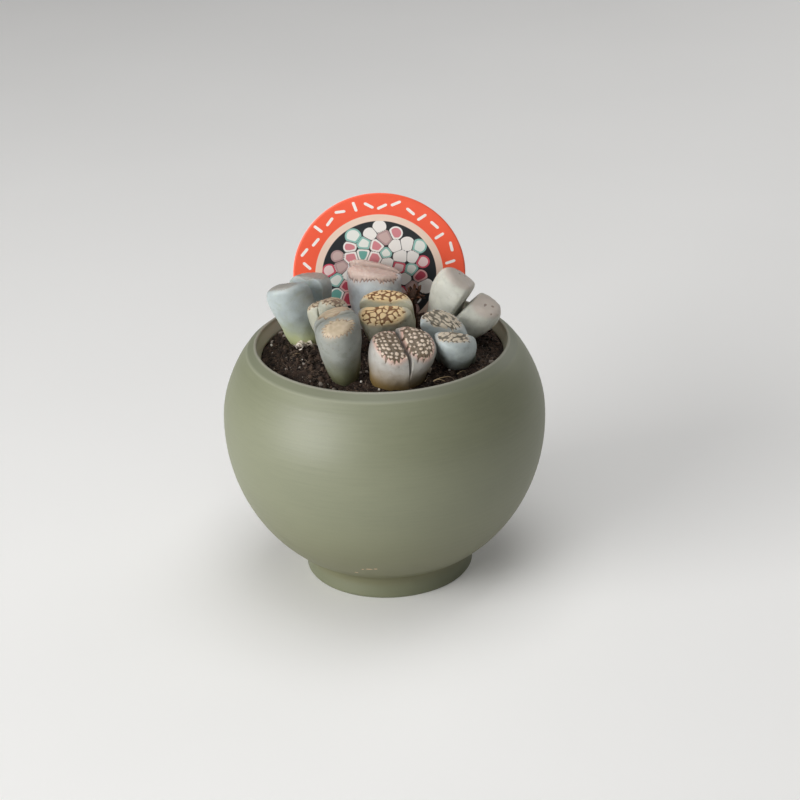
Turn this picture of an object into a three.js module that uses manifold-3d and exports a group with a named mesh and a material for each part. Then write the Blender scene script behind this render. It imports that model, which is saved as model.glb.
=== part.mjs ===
// Potted lithops: a round-bellied ceramic pot of soil, eight lithops heads, a dried flower
// and a round plant label pushed into the soil behind them.
// Millimetres, +Z up, origin at the centre of the foot on the surface it stands on.
// The front of the pot faces -Y.

import * as THREE from 'three';
import { mergeVertices } from 'three/addons/utils/BufferGeometryUtils.js';
import Module from 'manifold-3d';

const wasm = await Module();
wasm.setup();

// Fit between pieces that touch
const clearance = 0.3;

// Pot
const potRadius = 60;
const potHeight = 92.2;
const bellyHeight = 61;
const mouthRadius = 46.3;
const neckRadius = 45.4;
const neckStart = 76;
const footRadius = 31.7;
const footHeight = 8.3;
const wallThickness = 4.5;
const floorHeight = 12;
const lowerCentre = 6;
const upperCentre = 41;
const upperReach = 34;
const rimStart = 85.5;
const rimRidge = 90;
const lipRadius = 0.9;
const footRound = 0.7;
const footTaper = 0.5;
const recessRadius = 27;
const recessDepth = 2.5;
const recessSlope = 1.2;
const potSides = 40;
const lowerSteps = 8;
const upperSteps = 4;
const innerSteps = 7;

// Soil
const soilAtWall = 84.5;
const soilMound = 5.5;
const moundPower = 6;
const moundRings = [0.93, 0.82, 0.6];
const soilLevel = 89.5;
const plugHeight = 9;

// Heads
const lobeSides = 20;
const flankSteps = 4;
const domeSteps = 5;
const buriedDepth = 9;
const innerFlatness = 4;
const innerFullness = 0.3;
const fissureWidth = 0.4;
const fissureStart = 0.25;
const fissureFull = 1;
const seamOverlap = 0.5;
const crownShift = 0.1;
const splayPower = 1.4;

// Plant label
const labelRadius = 32.5;
const labelThickness = 0.8;
const labelCentreHeight = 106.2;
const labelBack = 28;
const stakeWidth = 12;
const stakeShoulder = 50;
const stakeTip = 42;
const labelSegments = 40;

// Dried flower
const flowerPlace = new THREE.Vector3(12.6, 13.4, soilLevel);
const stalkRadius = 0.9;
const stalkHeight = 11.5;
const cupRadius = 2.6;
const cupHeight = 5;
const flowerSides = 10;
const petalCount = 7;
const petalLength = 5;
const petalWidth = 1.6;
const petalThickness = 0.7;
const petalRise = [18, 32, 46];
const petalStagger = 9;

const radians = THREE.MathUtils.degToRad;

// Each head is two leaves grown together below and parted by a fissure above.
// place: where it leaves the soil; turn: the fissure's direction from +X, in degrees;
// lean: how far it leans towards +X and +Y, in degrees; inner: how round its leaves are
// beside the fissure, in millimetres.
// A leaf: half the fissure's length, depth away from it, height of its widest ring, height of
// its top, flatness of its top, size of its foot, how far its top splays away from the fissure
// and drifts along it, and how steeply the top rises along the fissure and falls away from it.
const leaf = (length, depth, shoulder, top, flatness, foot, splay, drift, slope, fall) => ({
  length, depth, shoulder, top, flatness, foot, splay, drift, slope, fall,
});

const heads = [
  {
    name: 'lithops_back_left', place: [-27.6, 7.5], turn: -40, lean: [-5, -10],
    inner: 0.6, colour: 0x9fabab,
    near: leaf(9.5, 9.8, 20.1, 27.3, 3.7, 0.47, 3.5, -0.2, 0.4, -0.28),
    far: leaf(8.7, 10.6, 18, 25.5, 3.5, 0.49, 2.8, 0.6, 0.16, 0.23),
  },
  {
    name: 'lithops_front_left', place: [-13.3, -29.6], turn: 7, lean: [-8, -5],
    inner: 0.6, colour: 0xb3b3a2,
    near: leaf(8.1, 8.8, 21, 25.9, 3.2, 0.16, 0.2, 1.2, 0.09, 0.08),
    far: leaf(7.9, 8.3, 20, 25.5, 3.1, 0.25, 1.4, 0.7, 0.09, 0.02),
  },
  {
    name: 'lithops_small', place: [-15.9, -12.4], turn: 67, lean: [-8, 5],
    inner: 0.6, colour: 0xb9b29a,
    near: leaf(7.3, 6.8, 19.2, 23.8, 2.8, 0.5, -1.1, -0.3, -0.2, -0.02),
    far: leaf(7.1, 6.3, 17.7, 22.7, 2.8, 0.51, 0.9, -0.4, -0.12, -0.03),
  },
  {
    name: 'lithops_centre', place: [4.4, -1.4], turn: -10, lean: [-7, -9],
    inner: 0.6, colour: 0xb8a878,
    near: leaf(9.9, 8.8, 14.7, 19.1, 2.7, 0.41, 1.5, -0.9, -0.02, 0),
    far: leaf(9.9, 8.5, 15.3, 20.2, 2.7, 0.48, 0.2, -0.8, -0.11, -0.05),
  },
  {
    name: 'lithops_front', place: [5.1, -29.6], turn: -70, lean: [9, -13],
    inner: 0.6, colour: 0xa69a90,
    near: leaf(9.6, 11.3, 9.7, 15.6, 3.1, 0.76, 0.3, 0, -0.08, -0.21),
    far: leaf(9.6, 11.3, 10.4, 16.3, 2.8, 0.73, 0.4, 0, -0.13, -0.14),
  },
  {
    name: 'lithops_back', place: [-2.4, 16.2], turn: -8, lean: [0, 4],
    inner: 0.6, colour: 0xaaa8a8,
    near: leaf(10.1, 8.4, 20.3, 24.1, 3.5, 0.4, 1.3, 1, -0.16, -0.11),
    far: leaf(9.9, 9.4, 20.8, 24.9, 3.5, 0.48, 0, 0.8, -0.25, 0.2),
  },
  {
    name: 'lithops_back_right', place: [21.1, 4.3], turn: 68, lean: [32, -8],
    inner: 2, colour: 0xa9ada0,
    near: leaf(9.3, 10.8, 14.5, 21.9, 3, 0.36, 1.9, 0.3, 0.23, -0.25),
    far: leaf(8.1, 11.7, 18.2, 25.6, 2.8, 0.21, -0.4, -1.2, 0.03, -0.14),
  },
  {
    name: 'lithops_right', place: [26.6, -17.6], turn: 0, lean: [1, -13],
    inner: 0.6, colour: 0x8f9c9c,
    near: leaf(7.5, 9.1, 12.1, 16.8, 3.3, 0.29, 4.6, -1.2, -0.14, -0.05),
    far: leaf(8.3, 9.6, 10.5, 15.1, 3.6, 0.44, 1.5, -5.9, -0.24, -0.16),
  },
];

const matte = (colour, roughness) => new THREE.MeshStandardMaterial({
  color: colour, roughness, metalness: 0,
});

// Quarter-ellipse profiles of the bowl, outside and inside
function lowerWall(height, inset) {
  const rise = (bellyHeight - height) / (bellyHeight - 1 - inset);
  return lowerCentre + (potRadius - lowerCentre - inset) * Math.sqrt(1 - rise * rise);
}

function upperWall(height, inset) {
  const rise = (height - bellyHeight) / upperReach;
  return upperCentre + (potRadius - upperCentre - inset) * Math.sqrt(1 - rise * rise);
}

function wallRadius(height, inset) {
  return height < bellyHeight ? lowerWall(height, inset) : upperWall(height, inset);
}

function wallCurve(from, to, inset, steps) {
  return Array.from({ length: steps + 1 }, (_, step) => {
    const height = THREE.MathUtils.lerp(from, to, step / steps);
    return new THREE.Vector2(wallRadius(height, inset), height);
  });
}

// A section of radius and height turned round the upright axis
function turned(section, sides) {
  return new THREE.LatheGeometry(section, sides).rotateX(Math.PI / 2);
}

// The inside keeps the wall's thickness up the bowl and draws in to the neck at the soil
function insideCurve(inset) {
  return [
    ...wallCurve(floorHeight, neckStart, wallThickness + inset, innerSteps),
    new THREE.Vector2(neckRadius - inset, soilAtWall),
  ];
}

// Section of the pot, from the middle of its underside round the outside and back inside
function potGeometry() {
  const outside = [
    ...wallCurve(footHeight, bellyHeight, 0, lowerSteps),
    ...wallCurve(bellyHeight, rimStart, 0, upperSteps).slice(1),
  ];
  const section = [
    new THREE.Vector2(0, recessDepth),
    new THREE.Vector2(recessRadius - recessSlope, recessDepth),
    new THREE.Vector2(recessRadius, 0),
    new THREE.Vector2(footRadius - footRound, 0),
    new THREE.Vector2(footRadius, footRound),
    new THREE.Vector2(footRadius - footTaper, footHeight - footRound),
    ...outside,
    new THREE.Vector2(wallRadius(rimRidge, 0), rimRidge),
    new THREE.Vector2(mouthRadius + lipRadius, potHeight),
    new THREE.Vector2(mouthRadius, potHeight - lipRadius),
    ...insideCurve(0).reverse(),
    new THREE.Vector2(0, floorHeight),
  ];
  return turned(section, potSides);
}

// Soil that fills the pot up to a low mound
function soilGeometry() {
  const side = insideCurve(clearance);
  const edge = neckRadius - clearance;
  side[0].y += clearance;
  const mound = moundRings.map((share) => new THREE.Vector2(
    edge * share, soilAtWall + soilMound * (1 - share ** moundPower),
  ));
  const section = [
    new THREE.Vector2(0, floorHeight + clearance),
    ...side,
    ...mound,
    new THREE.Vector2(0, soilAtWall + soilMound),
  ];
  return turned(section, potSides);
}

const smoothstep = THREE.MathUtils.smoothstep;

// Rings of one leaf from its buried foot to the pole of its top: share of the full width and
// height. The flank widens on a sine, and the top closes on a superellipse.
function leafRings(form, topHeight) {
  const rings = [];
  const flankRing = (share) => [
    form.foot + (1 - form.foot) * Math.sin(share * Math.PI / 2),
    THREE.MathUtils.lerp(-buriedDepth, form.shoulder, share),
  ];
  for (let step = 0; step < flankSteps; step += 1) {
    rings.push(flankRing(step / flankSteps));
  }
  for (let step = 0; step < domeSteps; step += 1) {
    const angle = (step / domeSteps) * Math.PI / 2;
    rings.push([
      Math.cos(angle) ** (2 / form.flatness),
      form.shoulder + (form.top - form.shoulder) * Math.sin(angle) ** (2 / form.flatness),
    ]);
  }
  if (topHeight >= form.top) {
    return rings;
  }
  const cut = flankRing((topHeight + buriedDepth) / (form.shoulder + buriedDepth));
  return [...rings.filter(([, height]) => height < topHeight), cut];
}

// One point of a leaf. x runs along the fissure, y away from it, z up. A ring is half an
// ellipse away from the fissure and a thin flat superellipse towards it, so that each leaf is
// half a dome with a steep wall. Low down the two leaves run into each other, and higher up
// they stand apart.
function leafPoint(form, width, height, angle, onTop) {
  const cosine = Math.cos(angle);
  const sine = Math.sin(angle);
  const facesFissure = sine < 0;
  const parting = smoothstep(
    height, form.shoulder * fissureStart, form.shoulder * fissureFull,
  );
  const seam = -seamOverlap + (form.gap / 2 + form.inner + seamOverlap) * parting;
  const squared = (value) => Math.sign(value) * Math.abs(value) ** (2 / innerFlatness);
  const along = form.length * width * (facesFissure ? squared(cosine) : cosine);
  const reach = facesFissure
    ? form.inner * width ** innerFullness * squared(sine)
    : form.depth * width * sine;
  const away = reach + (onTop ? (1 - width) * crownShift * form.depth : 0);
  const tilt = (form.slope * along - form.fall * away) * smoothstep(height, 0, form.shoulder);
  const rise = (Math.max(height, 0) / form.top) ** splayPower;
  const across = seam + away + form.splay * rise;
  return [along + form.drift * rise, form.side * across, height + tilt];
}

// One leaf as a closed grid of rings between two poles
function leafGeometry(head, side, grow, topHeight) {
  const shape = side < 0 ? head.near : head.far;
  const form = {
    ...shape, side, gap: fissureWidth - 2 * grow, inner: head.inner + grow,
    length: shape.length + grow, depth: shape.depth + grow,
  };
  const rings = leafRings(form, topHeight);
  const corner = [];
  rings.forEach(([width, height]) => {
    for (let step = 0; step < lobeSides; step += 1) {
      const angle = (step / lobeSides) * 2 * Math.PI;
      corner.push(...leafPoint(form, width, height, angle, height > form.shoulder));
    }
  });
  const topRing = rings[rings.length - 1];
  const closed = topHeight < form.top ? topRing[1] : form.top;
  corner.push(...leafPoint(form, 0, -buriedDepth - grow, 0, false));
  corner.push(...leafPoint(form, 0, closed, 0, closed > form.shoulder));
  const foot = rings.length * lobeSides;
  const crown = foot + 1;
  const faces = [];
  const face = (a, b, c) => faces.push(...(side > 0 ? [a, b, c] : [a, c, b]));
  for (let step = 0; step < lobeSides; step += 1) {
    const next = (step + 1) % lobeSides;
    face(foot, next, step);
    for (let ring = 0; ring < rings.length - 1; ring += 1) {
      const low = ring * lobeSides;
      const high = low + lobeSides;
      face(low + step, low + next, high + next);
      face(low + step, high + next, high + step);
    }
    const last = (rings.length - 1) * lobeSides;
    face(last + step, last + next, crown);
  }
  const geometry = new THREE.BufferGeometry();
  geometry.setAttribute('position', new THREE.Float32BufferAttribute(corner, 3));
  geometry.setIndex(faces);
  return geometry;
}

// Closed mesh to solid and back, for joining and cutting
function solid(geometry, matrix) {
  const bare = geometry.clone();
  bare.deleteAttribute('normal');
  bare.deleteAttribute('uv');
  if (matrix) {
    bare.applyMatrix4(matrix);
  }
  const merged = mergeVertices(bare, 1e-4);
  return new wasm.Manifold(new wasm.Mesh({
    numProp: 3,
    vertProperties: new Float32Array(merged.attributes.position.array),
    triVerts: new Uint32Array(merged.index.array),
  }));
}

function geometryOf(body) {
  const mesh = body.getMesh();
  const geometry = new THREE.BufferGeometry();
  geometry.setAttribute('position', new THREE.BufferAttribute(mesh.vertProperties, 3));
  geometry.setIndex(new THREE.BufferAttribute(mesh.triVerts, 1));
  geometry.computeVertexNormals();
  return geometry;
}

function headSolid(head, grow, topHeight) {
  const near = solid(leafGeometry(head, -1, grow, topHeight));
  const far = solid(leafGeometry(head, 1, grow, topHeight));
  return near.add(far);
}

// A head stands at its place, leaning as a whole and turned about its own axis
function placeHead(object, head) {
  const [east, north] = head.lean.map(radians);
  const lean = new THREE.Quaternion().setFromAxisAngle(
    new THREE.Vector3(-north, east, 0).normalize(), Math.hypot(east, north),
  );
  const turn = new THREE.Quaternion().setFromAxisAngle(
    new THREE.Vector3(0, 0, 1), radians(head.turn),
  );
  object.position.set(head.place[0], head.place[1], soilLevel);
  object.quaternion.multiplyQuaternions(lean, turn);
  object.updateMatrixWorld(true);
  return object;
}

function headMesh(head) {
  const mesh = new THREE.Mesh(geometryOf(headSolid(head, 0, Infinity)), matte(head.colour, 0.55));
  mesh.name = head.name;
  return placeHead(mesh, head);
}

// Round label that narrows to a pointed stake, standing upright across the pot
function labelGeometry(grow) {
  const radius = labelRadius + grow;
  const half = stakeWidth / 2 + grow;
  const join = Math.asin(half / radius);
  const drop = (height) => height - labelCentreHeight;
  const outline = new THREE.Shape();
  outline.absarc(0, 0, radius, join - Math.PI / 2, 1.5 * Math.PI - join, false);
  outline.lineTo(-half, drop(stakeShoulder));
  outline.lineTo(0, drop(stakeTip - grow));
  outline.lineTo(half, drop(stakeShoulder));
  const depth = labelThickness + 2 * grow;
  const geometry = new THREE.ExtrudeGeometry(outline, {
    depth, bevelEnabled: false, curveSegments: labelSegments,
  });
  geometry.rotateX(Math.PI / 2);
  geometry.translate(0, labelBack + depth / 2, labelCentreHeight);
  return geometry;
}

// Withered flower: a thin stalk, a shrivelled cup and strap petals that curl up out of it
function petalGeometry(index) {
  const curl = petalLength * 0.45;
  const tip = new THREE.Vector2(petalLength, curl);
  const bend = new THREE.Vector2(petalLength * 0.6, 0);
  const outline = new THREE.Shape();
  outline.moveTo(0, 0);
  outline.quadraticCurveTo(bend.x, bend.y, tip.x, tip.y);
  outline.lineTo(tip.x - petalThickness, tip.y + petalThickness);
  outline.quadraticCurveTo(
    bend.x - petalThickness, bend.y + petalThickness * 1.6, 0, petalThickness * 1.7,
  );
  const geometry = new THREE.ExtrudeGeometry(outline, {
    depth: petalWidth, bevelEnabled: false, curveSegments: 2,
  });
  geometry.translate(0, 0, -petalWidth / 2);
  geometry.rotateX(Math.PI / 2);
  geometry.rotateY(radians(-petalRise[index % petalRise.length]));
  geometry.rotateZ(radians(index * 360 / petalCount + petalStagger * (index % 2)));
  geometry.translate(0, 0, stalkHeight + cupHeight * 0.35);
  return geometry;
}

function flowerGeometry() {
  const section = [
    new THREE.Vector2(0, -buriedDepth / 2),
    new THREE.Vector2(stalkRadius, -buriedDepth / 2),
    new THREE.Vector2(stalkRadius, stalkHeight - 1),
    new THREE.Vector2(cupRadius * 0.8, stalkHeight + 0.5),
    new THREE.Vector2(cupRadius, stalkHeight + cupHeight * 0.45),
    new THREE.Vector2(cupRadius * 0.6, stalkHeight + cupHeight * 0.85),
    new THREE.Vector2(0, stalkHeight + cupHeight),
  ];
  let flower = solid(turned(section, flowerSides));
  for (let index = 0; index < petalCount; index += 1) {
    flower = flower.add(solid(petalGeometry(index)));
  }
  return geometryOf(flower);
}

function stalkHole() {
  const depth = buriedDepth / 2 + clearance + plugHeight;
  const hole = new THREE.CylinderGeometry(
    stalkRadius + clearance, stalkRadius + clearance, depth, 12,
  );
  hole.rotateX(Math.PI / 2);
  hole.translate(flowerPlace.x, flowerPlace.y, flowerPlace.z + plugHeight - depth / 2);
  return solid(hole);
}

// Soil with a hole for each head and the stalk, and a slot for the label
function plantedSoil() {
  let soil = solid(soilGeometry());
  heads.forEach((head) => {
    const place = placeHead(new THREE.Object3D(), head).matrixWorld;
    const hole = headSolid(head, clearance, plugHeight);
    soil = soil.subtract(hole.transform(place.elements));
  });
  return geometryOf(soil.subtract(solid(labelGeometry(clearance))).subtract(stalkHole()));
}

function named(name, geometry, material, place) {
  const mesh = new THREE.Mesh(geometry, material);
  mesh.name = name;
  if (place) {
    mesh.position.copy(place);
  }
  return mesh;
}

const group = new THREE.Group();
group.add(
  named('pot', potGeometry(), matte(0x8a8f78, 0.55)),
  named('soil', plantedSoil(), matte(0x33261e, 0.95)),
  named('label', labelGeometry(0), matte(0xe85a3a, 0.4)),
  named('dried_flower', flowerGeometry(), matte(0x3a2a1c, 0.9), flowerPlace),
  ...heads.map(headMesh),
);

export default group;
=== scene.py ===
"""Potted lithops: the finish of a sage green pot with soil, eight lithops heads and a label.

Laid out as a Blender add-on and run as a script. Every size is in millimetres inside the
functions and becomes metres when a mesh is made. +Z is up and the front of the pot faces -Y.
"""

import math
from collections import namedtuple

import bpy
import numpy as np
from bpy.props import FloatProperty, FloatVectorProperty, IntProperty, PointerProperty
from mathutils import Matrix, Vector


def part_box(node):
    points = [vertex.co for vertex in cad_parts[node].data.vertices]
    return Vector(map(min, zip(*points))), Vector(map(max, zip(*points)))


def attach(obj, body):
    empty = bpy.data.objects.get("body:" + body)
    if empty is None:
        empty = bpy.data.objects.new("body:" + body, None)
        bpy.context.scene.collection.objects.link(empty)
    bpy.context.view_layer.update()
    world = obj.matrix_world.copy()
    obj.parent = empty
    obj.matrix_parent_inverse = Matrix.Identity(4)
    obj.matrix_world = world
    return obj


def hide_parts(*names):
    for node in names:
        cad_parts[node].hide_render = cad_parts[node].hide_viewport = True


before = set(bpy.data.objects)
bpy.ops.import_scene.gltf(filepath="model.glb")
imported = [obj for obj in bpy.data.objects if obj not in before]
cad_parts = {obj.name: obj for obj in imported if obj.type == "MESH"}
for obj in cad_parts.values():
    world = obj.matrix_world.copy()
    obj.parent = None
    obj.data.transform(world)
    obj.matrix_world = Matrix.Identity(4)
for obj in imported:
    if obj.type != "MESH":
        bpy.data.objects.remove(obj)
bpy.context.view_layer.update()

bl_info = {
    "name": "Potted Lithops",
    "version": (1, 0, 0),
    "blender": (4, 5, 0),
    "location": "3D View > Sidebar > Lithops",
    "description": "Builds a pot of lithops around its packed frame",
    "category": "Add Mesh",
}

MM = 0.001
BODY = "root"
TURN = 2 * math.pi


def node_box(node):
    """Lowest and highest corners of a CAD node in millimetres."""
    low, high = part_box(node)
    return np.array(low) / MM, np.array(high) / MM


POT_LOW, POT_HIGH = node_box("pot")
LABEL_LOW, LABEL_HIGH = node_box("label")
FLOWER_LOW, FLOWER_HIGH = node_box("dried_flower")

# Height of the soil round the heads
SOIL_LEVEL = 89.5


# Heads

# One leaf: half the fissure's length, depth away from the fissure, heights of its widest
# ring and of its top, flatness of its top, size of its foot, how far its top splays away
# from the fissure and drifts along it, and how steeply the top rises along the fissure and
# falls away from it
Leaf = namedtuple("Leaf", "length depth shoulder top flatness foot splay drift slope fall")

# The marked window on top of a leaf: its kind, half sizes and centre in millimetres of skin,
# the count and reach of its teeth, the spacing and size of its islands, and how long and at
# what angle to the fissure they are drawn out
Pattern = namedtuple("Pattern", "kind size centre teeth reach cell island stretch angle",
                     defaults=(1.0, 0))

# Colours of a head, the foot's (low) and the window's rim included, and up to what share of
# the flank the foot's colour fades. On the front left head the dark foot colour reaching high
# up the flank is partly its own brownish tone and partly painted shade, and on the centre
# head the pale foot colour is painted light on its shaded flank
Palette = namedtuple("Palette", "skin low window margin island rim fade")

# One head: where it leaves the soil, the direction of its fissure from +X in degrees, how far
# it leans towards +X and +Y in degrees, how round its leaves are beside the fissure, its near
# leaf (-1) and far leaf (1) with their patterns, its colours and its material slot
Head = namedtuple("Head", "place turn lean inner leaves patterns palette slot")

# One kind of window: how ragged its margin is, in millimetres, how far its cells bend and
# stray, as shares of their size, the depth of its relief in millimetres, how strongly its
# dark markings show, how much of it is tinted, how pale its middle is, and how strongly the
# flank under it is dotted
Kind = namedtuple("Kind", "ragged bend jitter relief marked tinted opened dotted")

KINDS = {
    "net": Kind(0.9, 0.3, 0.75, 0.17, 1.0, 1.0, 0.0, 0.25),
    "dots": Kind(0.4, 0.1, 0.5, 0.16, 1.0, 1.0, 1.0, 0.25),
    "marble": Kind(0.5, 0.3, 0.8, 0.14, 0.95, 0.8, 1.0, 0.4),
    "plain": Kind(0.4, 0.2, 0.8, 0.09, 0.9, 0.9, 1.0, 0.7),
    "faint": Kind(0.5, 0.3, 0.8, 0.07, 0.45, 0.4, 1.0, 0.3),
    "ragged": Kind(0.4, 0.3, 0.8, 0.1, 0.85, 0.6, 1.0, 0.3),
    "bare": Kind(0.4, 0.2, 0.8, 0.05, 0.8, 0.7, 0.0, 0.35),
}

HEADS = {
    "lithops_back_left": Head(
        (-27.6, 7.5), -40, (-5, -10), 0.6,
        {-1: Leaf(9.5, 9.8, 20.1, 27.3, 3.7, 0.47, 3.5, -0.2, 0.4, -0.28),
         1: Leaf(8.7, 10.6, 18, 25.5, 3.5, 0.49, 2.8, 0.6, 0.16, 0.23)},
        {-1: Pattern("faint", (7, 4.6), (0, 0), 26, 0.8, 1.7, 0.5),
         1: Pattern("faint", (7.4, 6), (0, 0.6), 26, 0.8, 1.7, 0.5)},
        Palette("#A5AEAE", "#B4BA86", "#94857A", "#7D6C61", "#A99C8F", "#A8A69F", 0.95),
        "lithops_blue_grey",
    ),
    "lithops_front_left": Head(
        (-13.3, -29.6), 7, (-8, -5), 0.6,
        {-1: Leaf(8.1, 8.8, 21, 25.9, 3.2, 0.16, 0.2, 1.2, 0.09, 0.08),
         1: Leaf(7.9, 8.3, 20, 25.5, 3.1, 0.25, 1.4, 0.7, 0.09, 0.02)},
        {-1: Pattern("plain", (7.1, 4.4), (-0.6, 2.8), 20, 1.9, 1.6, 0.3),
         1: Pattern("plain", (7.4, 5.3), (-0.2, 0.8), 18, 1.2, 1.6, 0.3)},
        # The dark foot colour reaching high up this flank: partly its own brownish tone, partly
        # painted shade
        Palette("#868983", "#66674A", "#AE9D83", "#75593F", "#C6B49B", "#A19C90", 0.75),
        "lithops_beige",
    ),
    "lithops_small": Head(
        (-15.9, -12.4), 67, (-8, 5), 0.6,
        {-1: Leaf(7.3, 6.8, 19.2, 23.8, 2.8, 0.5, -1.1, -0.3, -0.2, -0.02),
         1: Leaf(7.1, 6.3, 17.7, 22.7, 2.8, 0.51, 0.9, -0.4, -0.12, -0.03)},
        {-1: Pattern("marble", (7, 5.8), (0, 0.4), 18, 1.1, 1.4, 0.55, 1.6, 20),
         1: Pattern("marble", (6.6, 5.4), (0, 0.4), 18, 1.1, 1.4, 0.55, 1.6, 20)},
        Palette("#9D9D8E", "#8B8B6C", "#7D6754", "#5F4937", "#BDAE95", "#CDC8B8", 0.6),
        "lithops_beige",
    ),
    "lithops_centre": Head(
        (4.4, -1.4), -10, (-7, -9), 0.6,
        {-1: Leaf(9.9, 8.8, 14.7, 19.1, 2.7, 0.41, 1.5, -0.9, -0.02, 0),
         1: Leaf(9.9, 8.5, 15.3, 20.2, 2.7, 0.48, 0.2, -0.8, -0.11, -0.05)},
        {-1: Pattern("net", (9.3, 6.0), (0, 1.1), 14, 3.4, 2.7, 0.36),
         1: Pattern("net", (9.1, 5.2), (0, 0.4), 18, 2.0, 2.2, 0.36)},
        # The pale foot colour on this flank is painted light on its shaded side
        Palette("#C6C4B0", "#E4DFCB", "#845629", "#6F4622", "#EFD29D", "#E6CB9B", 0.45),
        "lithops_ochre",
    ),
    "lithops_front": Head(
        (5.1, -29.6), -70, (9, -13), 0.25,
        {-1: Leaf(9.6, 11.6, 9.7, 15.6, 3.1, 0.76, 0.3, 0, -0.08, -0.21),
         1: Leaf(9.6, 11.6, 10.4, 16.3, 2.8, 0.73, 0.4, 0, -0.13, -0.14)},
        {-1: Pattern("dots", (9.7, 6.5), (0.3, -0.1), 22, 2.8, 2.1, 0.6),
         1: Pattern("dots", (9.9, 6.4), (0.2, 0.4), 22, 2.6, 2.1, 0.6)},
        Palette("#A8A59F", "#7A6338", "#6A5C49", "#4C392B", "#DDCBB8", "#D3B0A1", 1.25),
        "lithops_brown",
    ),
    "lithops_back": Head(
        (-2.4, 16.2), -8, (0, 4), 0.6,
        {-1: Leaf(10.1, 8.4, 20.3, 24.1, 3.5, 0.4, 1.3, 1, -0.16, -0.11),
         1: Leaf(9.9, 9.4, 20.8, 24.9, 3.5, 0.48, 0, 0.8, -0.25, 0.2)},
        {-1: Pattern("ragged", (11.6, 6.8), (-0.9, 0.7), 30, 1.2, 1.8, 0.5),
         1: Pattern("ragged", (12, 8.6), (-0.8, -1.5), 30, 0.8, 1.8, 0.5)},
        Palette("#D5DDE1", "#B4B0B0", "#CDB2A4", "#74574A", "#D4BDB0", "#CFC2BD", 0.6),
        "lithops_grey",
    ),
    "lithops_back_right": Head(
        (21.1, 4.3), 68, (32, -8), 2,
        {-1: Leaf(9.3, 10.8, 14.5, 21.9, 3, 0.36, 1.9, 0.3, 0.23, -0.25),
         1: Leaf(8.1, 11.7, 18.2, 25.6, 2.8, 0.21, -0.4, -1.2, 0.03, -0.14)},
        {-1: Pattern("bare", (6.5, 6), (0, 0), 22, 0.8, 3.1, 0.62),
         1: Pattern("bare", (6.5, 6.5), (0, 0), 22, 0.8, 3.1, 0.62)},
        Palette("#C0C0B5", "#ACAA98", "#AFA79D", "#7E6C60", "#85756A", "#BBACA2", 0.5),
        "lithops_grey",
    ),
    "lithops_right": Head(
        (26.6, -17.6), 0, (1, -13), 0.6,
        {-1: Leaf(7.5, 9.1, 12.1, 16.8, 3.3, 0.29, 4.6, -1.2, -0.14, -0.05),
         1: Leaf(8.3, 9.6, 10.5, 15.1, 3.6, 0.44, 1.5, -5.9, -0.24, -0.16)},
        {-1: Pattern("marble", (6.4, 3.5), (-0.6, -1.4), 18, 1.3, 1.35, 0.6, 1.5, -40),
         1: Pattern("marble", (7, 5.4), (1, -0.4), 20, 1.3, 1.25, 0.5, 2.0, -50)},
        Palette("#A6AFAE", "#7C8077", "#615A4B", "#514A3F", "#C9BCA7", "#B9B7B1", 0.6),
        "lithops_blue_grey",
    ),
}

# How deep a head's foot goes, and what all leaves share in the shape of their sides,
# fissure, seam and crown: widths and depths in millimetres, shares, and powers
BURIED_DEPTH = 9
INNER_FLATNESS = 4
INNER_FULLNESS = 0.3
FISSURE_WIDTH = 0.4
FISSURE_START = 0.25
FISSURE_FULL = 1.0
SEAM_OVERLAP = 0.5
CROWN_SHIFT = 0.1
WINDOW_SHIFT = 0.42
SPLAY_POWER = 1.4


# Arrays

def xyz(x, y, z):
    """Points from three arrays or numbers that fit each other."""
    return np.stack(np.broadcast_arrays(x, y, z), -1)


def smoothstep(low, high, value):
    """0 below low, 1 above high and a smooth cubic between them."""
    share = np.clip((value - low) / (high - low), 0, 1)
    return share * share * (3 - 2 * share)


def waves(points, size, seed, octaves=2, count=10):
    """Smooth unevenness of about -1 to 1: a sum of sines along random directions, with
    waves of the given size, and of half that size at half the strength, and so on."""
    draw = np.random.default_rng(seed)
    total = np.zeros(points.shape[:-1])
    for octave in range(octaves):
        directions = draw.normal(size=(count, points.shape[-1]))
        directions /= np.linalg.norm(directions, axis=1, keepdims=True)
        phases = draw.uniform(0, TURN, count)
        angles = points @ directions.T * (TURN / size * 2 ** octave) + phases
        total += np.sin(angles).sum(-1) / math.sqrt(count) / 2 ** octave
    return total / 1.5


def cells(x, y, size, seed, jitter=0.8):
    """Distance to the nearest and to the second nearest point of a jittered lattice with
    the given spacing, and a random number that belongs to the nearest point."""
    table = np.random.default_rng(seed).uniform(size=(64, 64, 3))
    column = np.floor(x / size).astype(int)
    row = np.floor(y / size).astype(int)
    first = np.full(x.shape, np.inf)
    second = np.full(x.shape, np.inf)
    pick = np.zeros(x.shape)
    for across in (-1, 0, 1):
        for along in (-1, 0, 1):
            cell = table[(column + across) % 64, (row + along) % 64]
            point_x = (column + across + 0.5 + jitter * (cell[..., 0] - 0.5)) * size
            point_y = (row + along + 0.5 + jitter * (cell[..., 1] - 0.5)) * size
            distance = np.hypot(x - point_x, y - point_y)
            nearer = distance < first
            second = np.where(nearer, first, np.minimum(second, distance))
            pick = np.where(nearer, cell[..., 2], pick)
            first = np.where(nearer, distance, first)
    return first, second, pick


# Meshes

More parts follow.
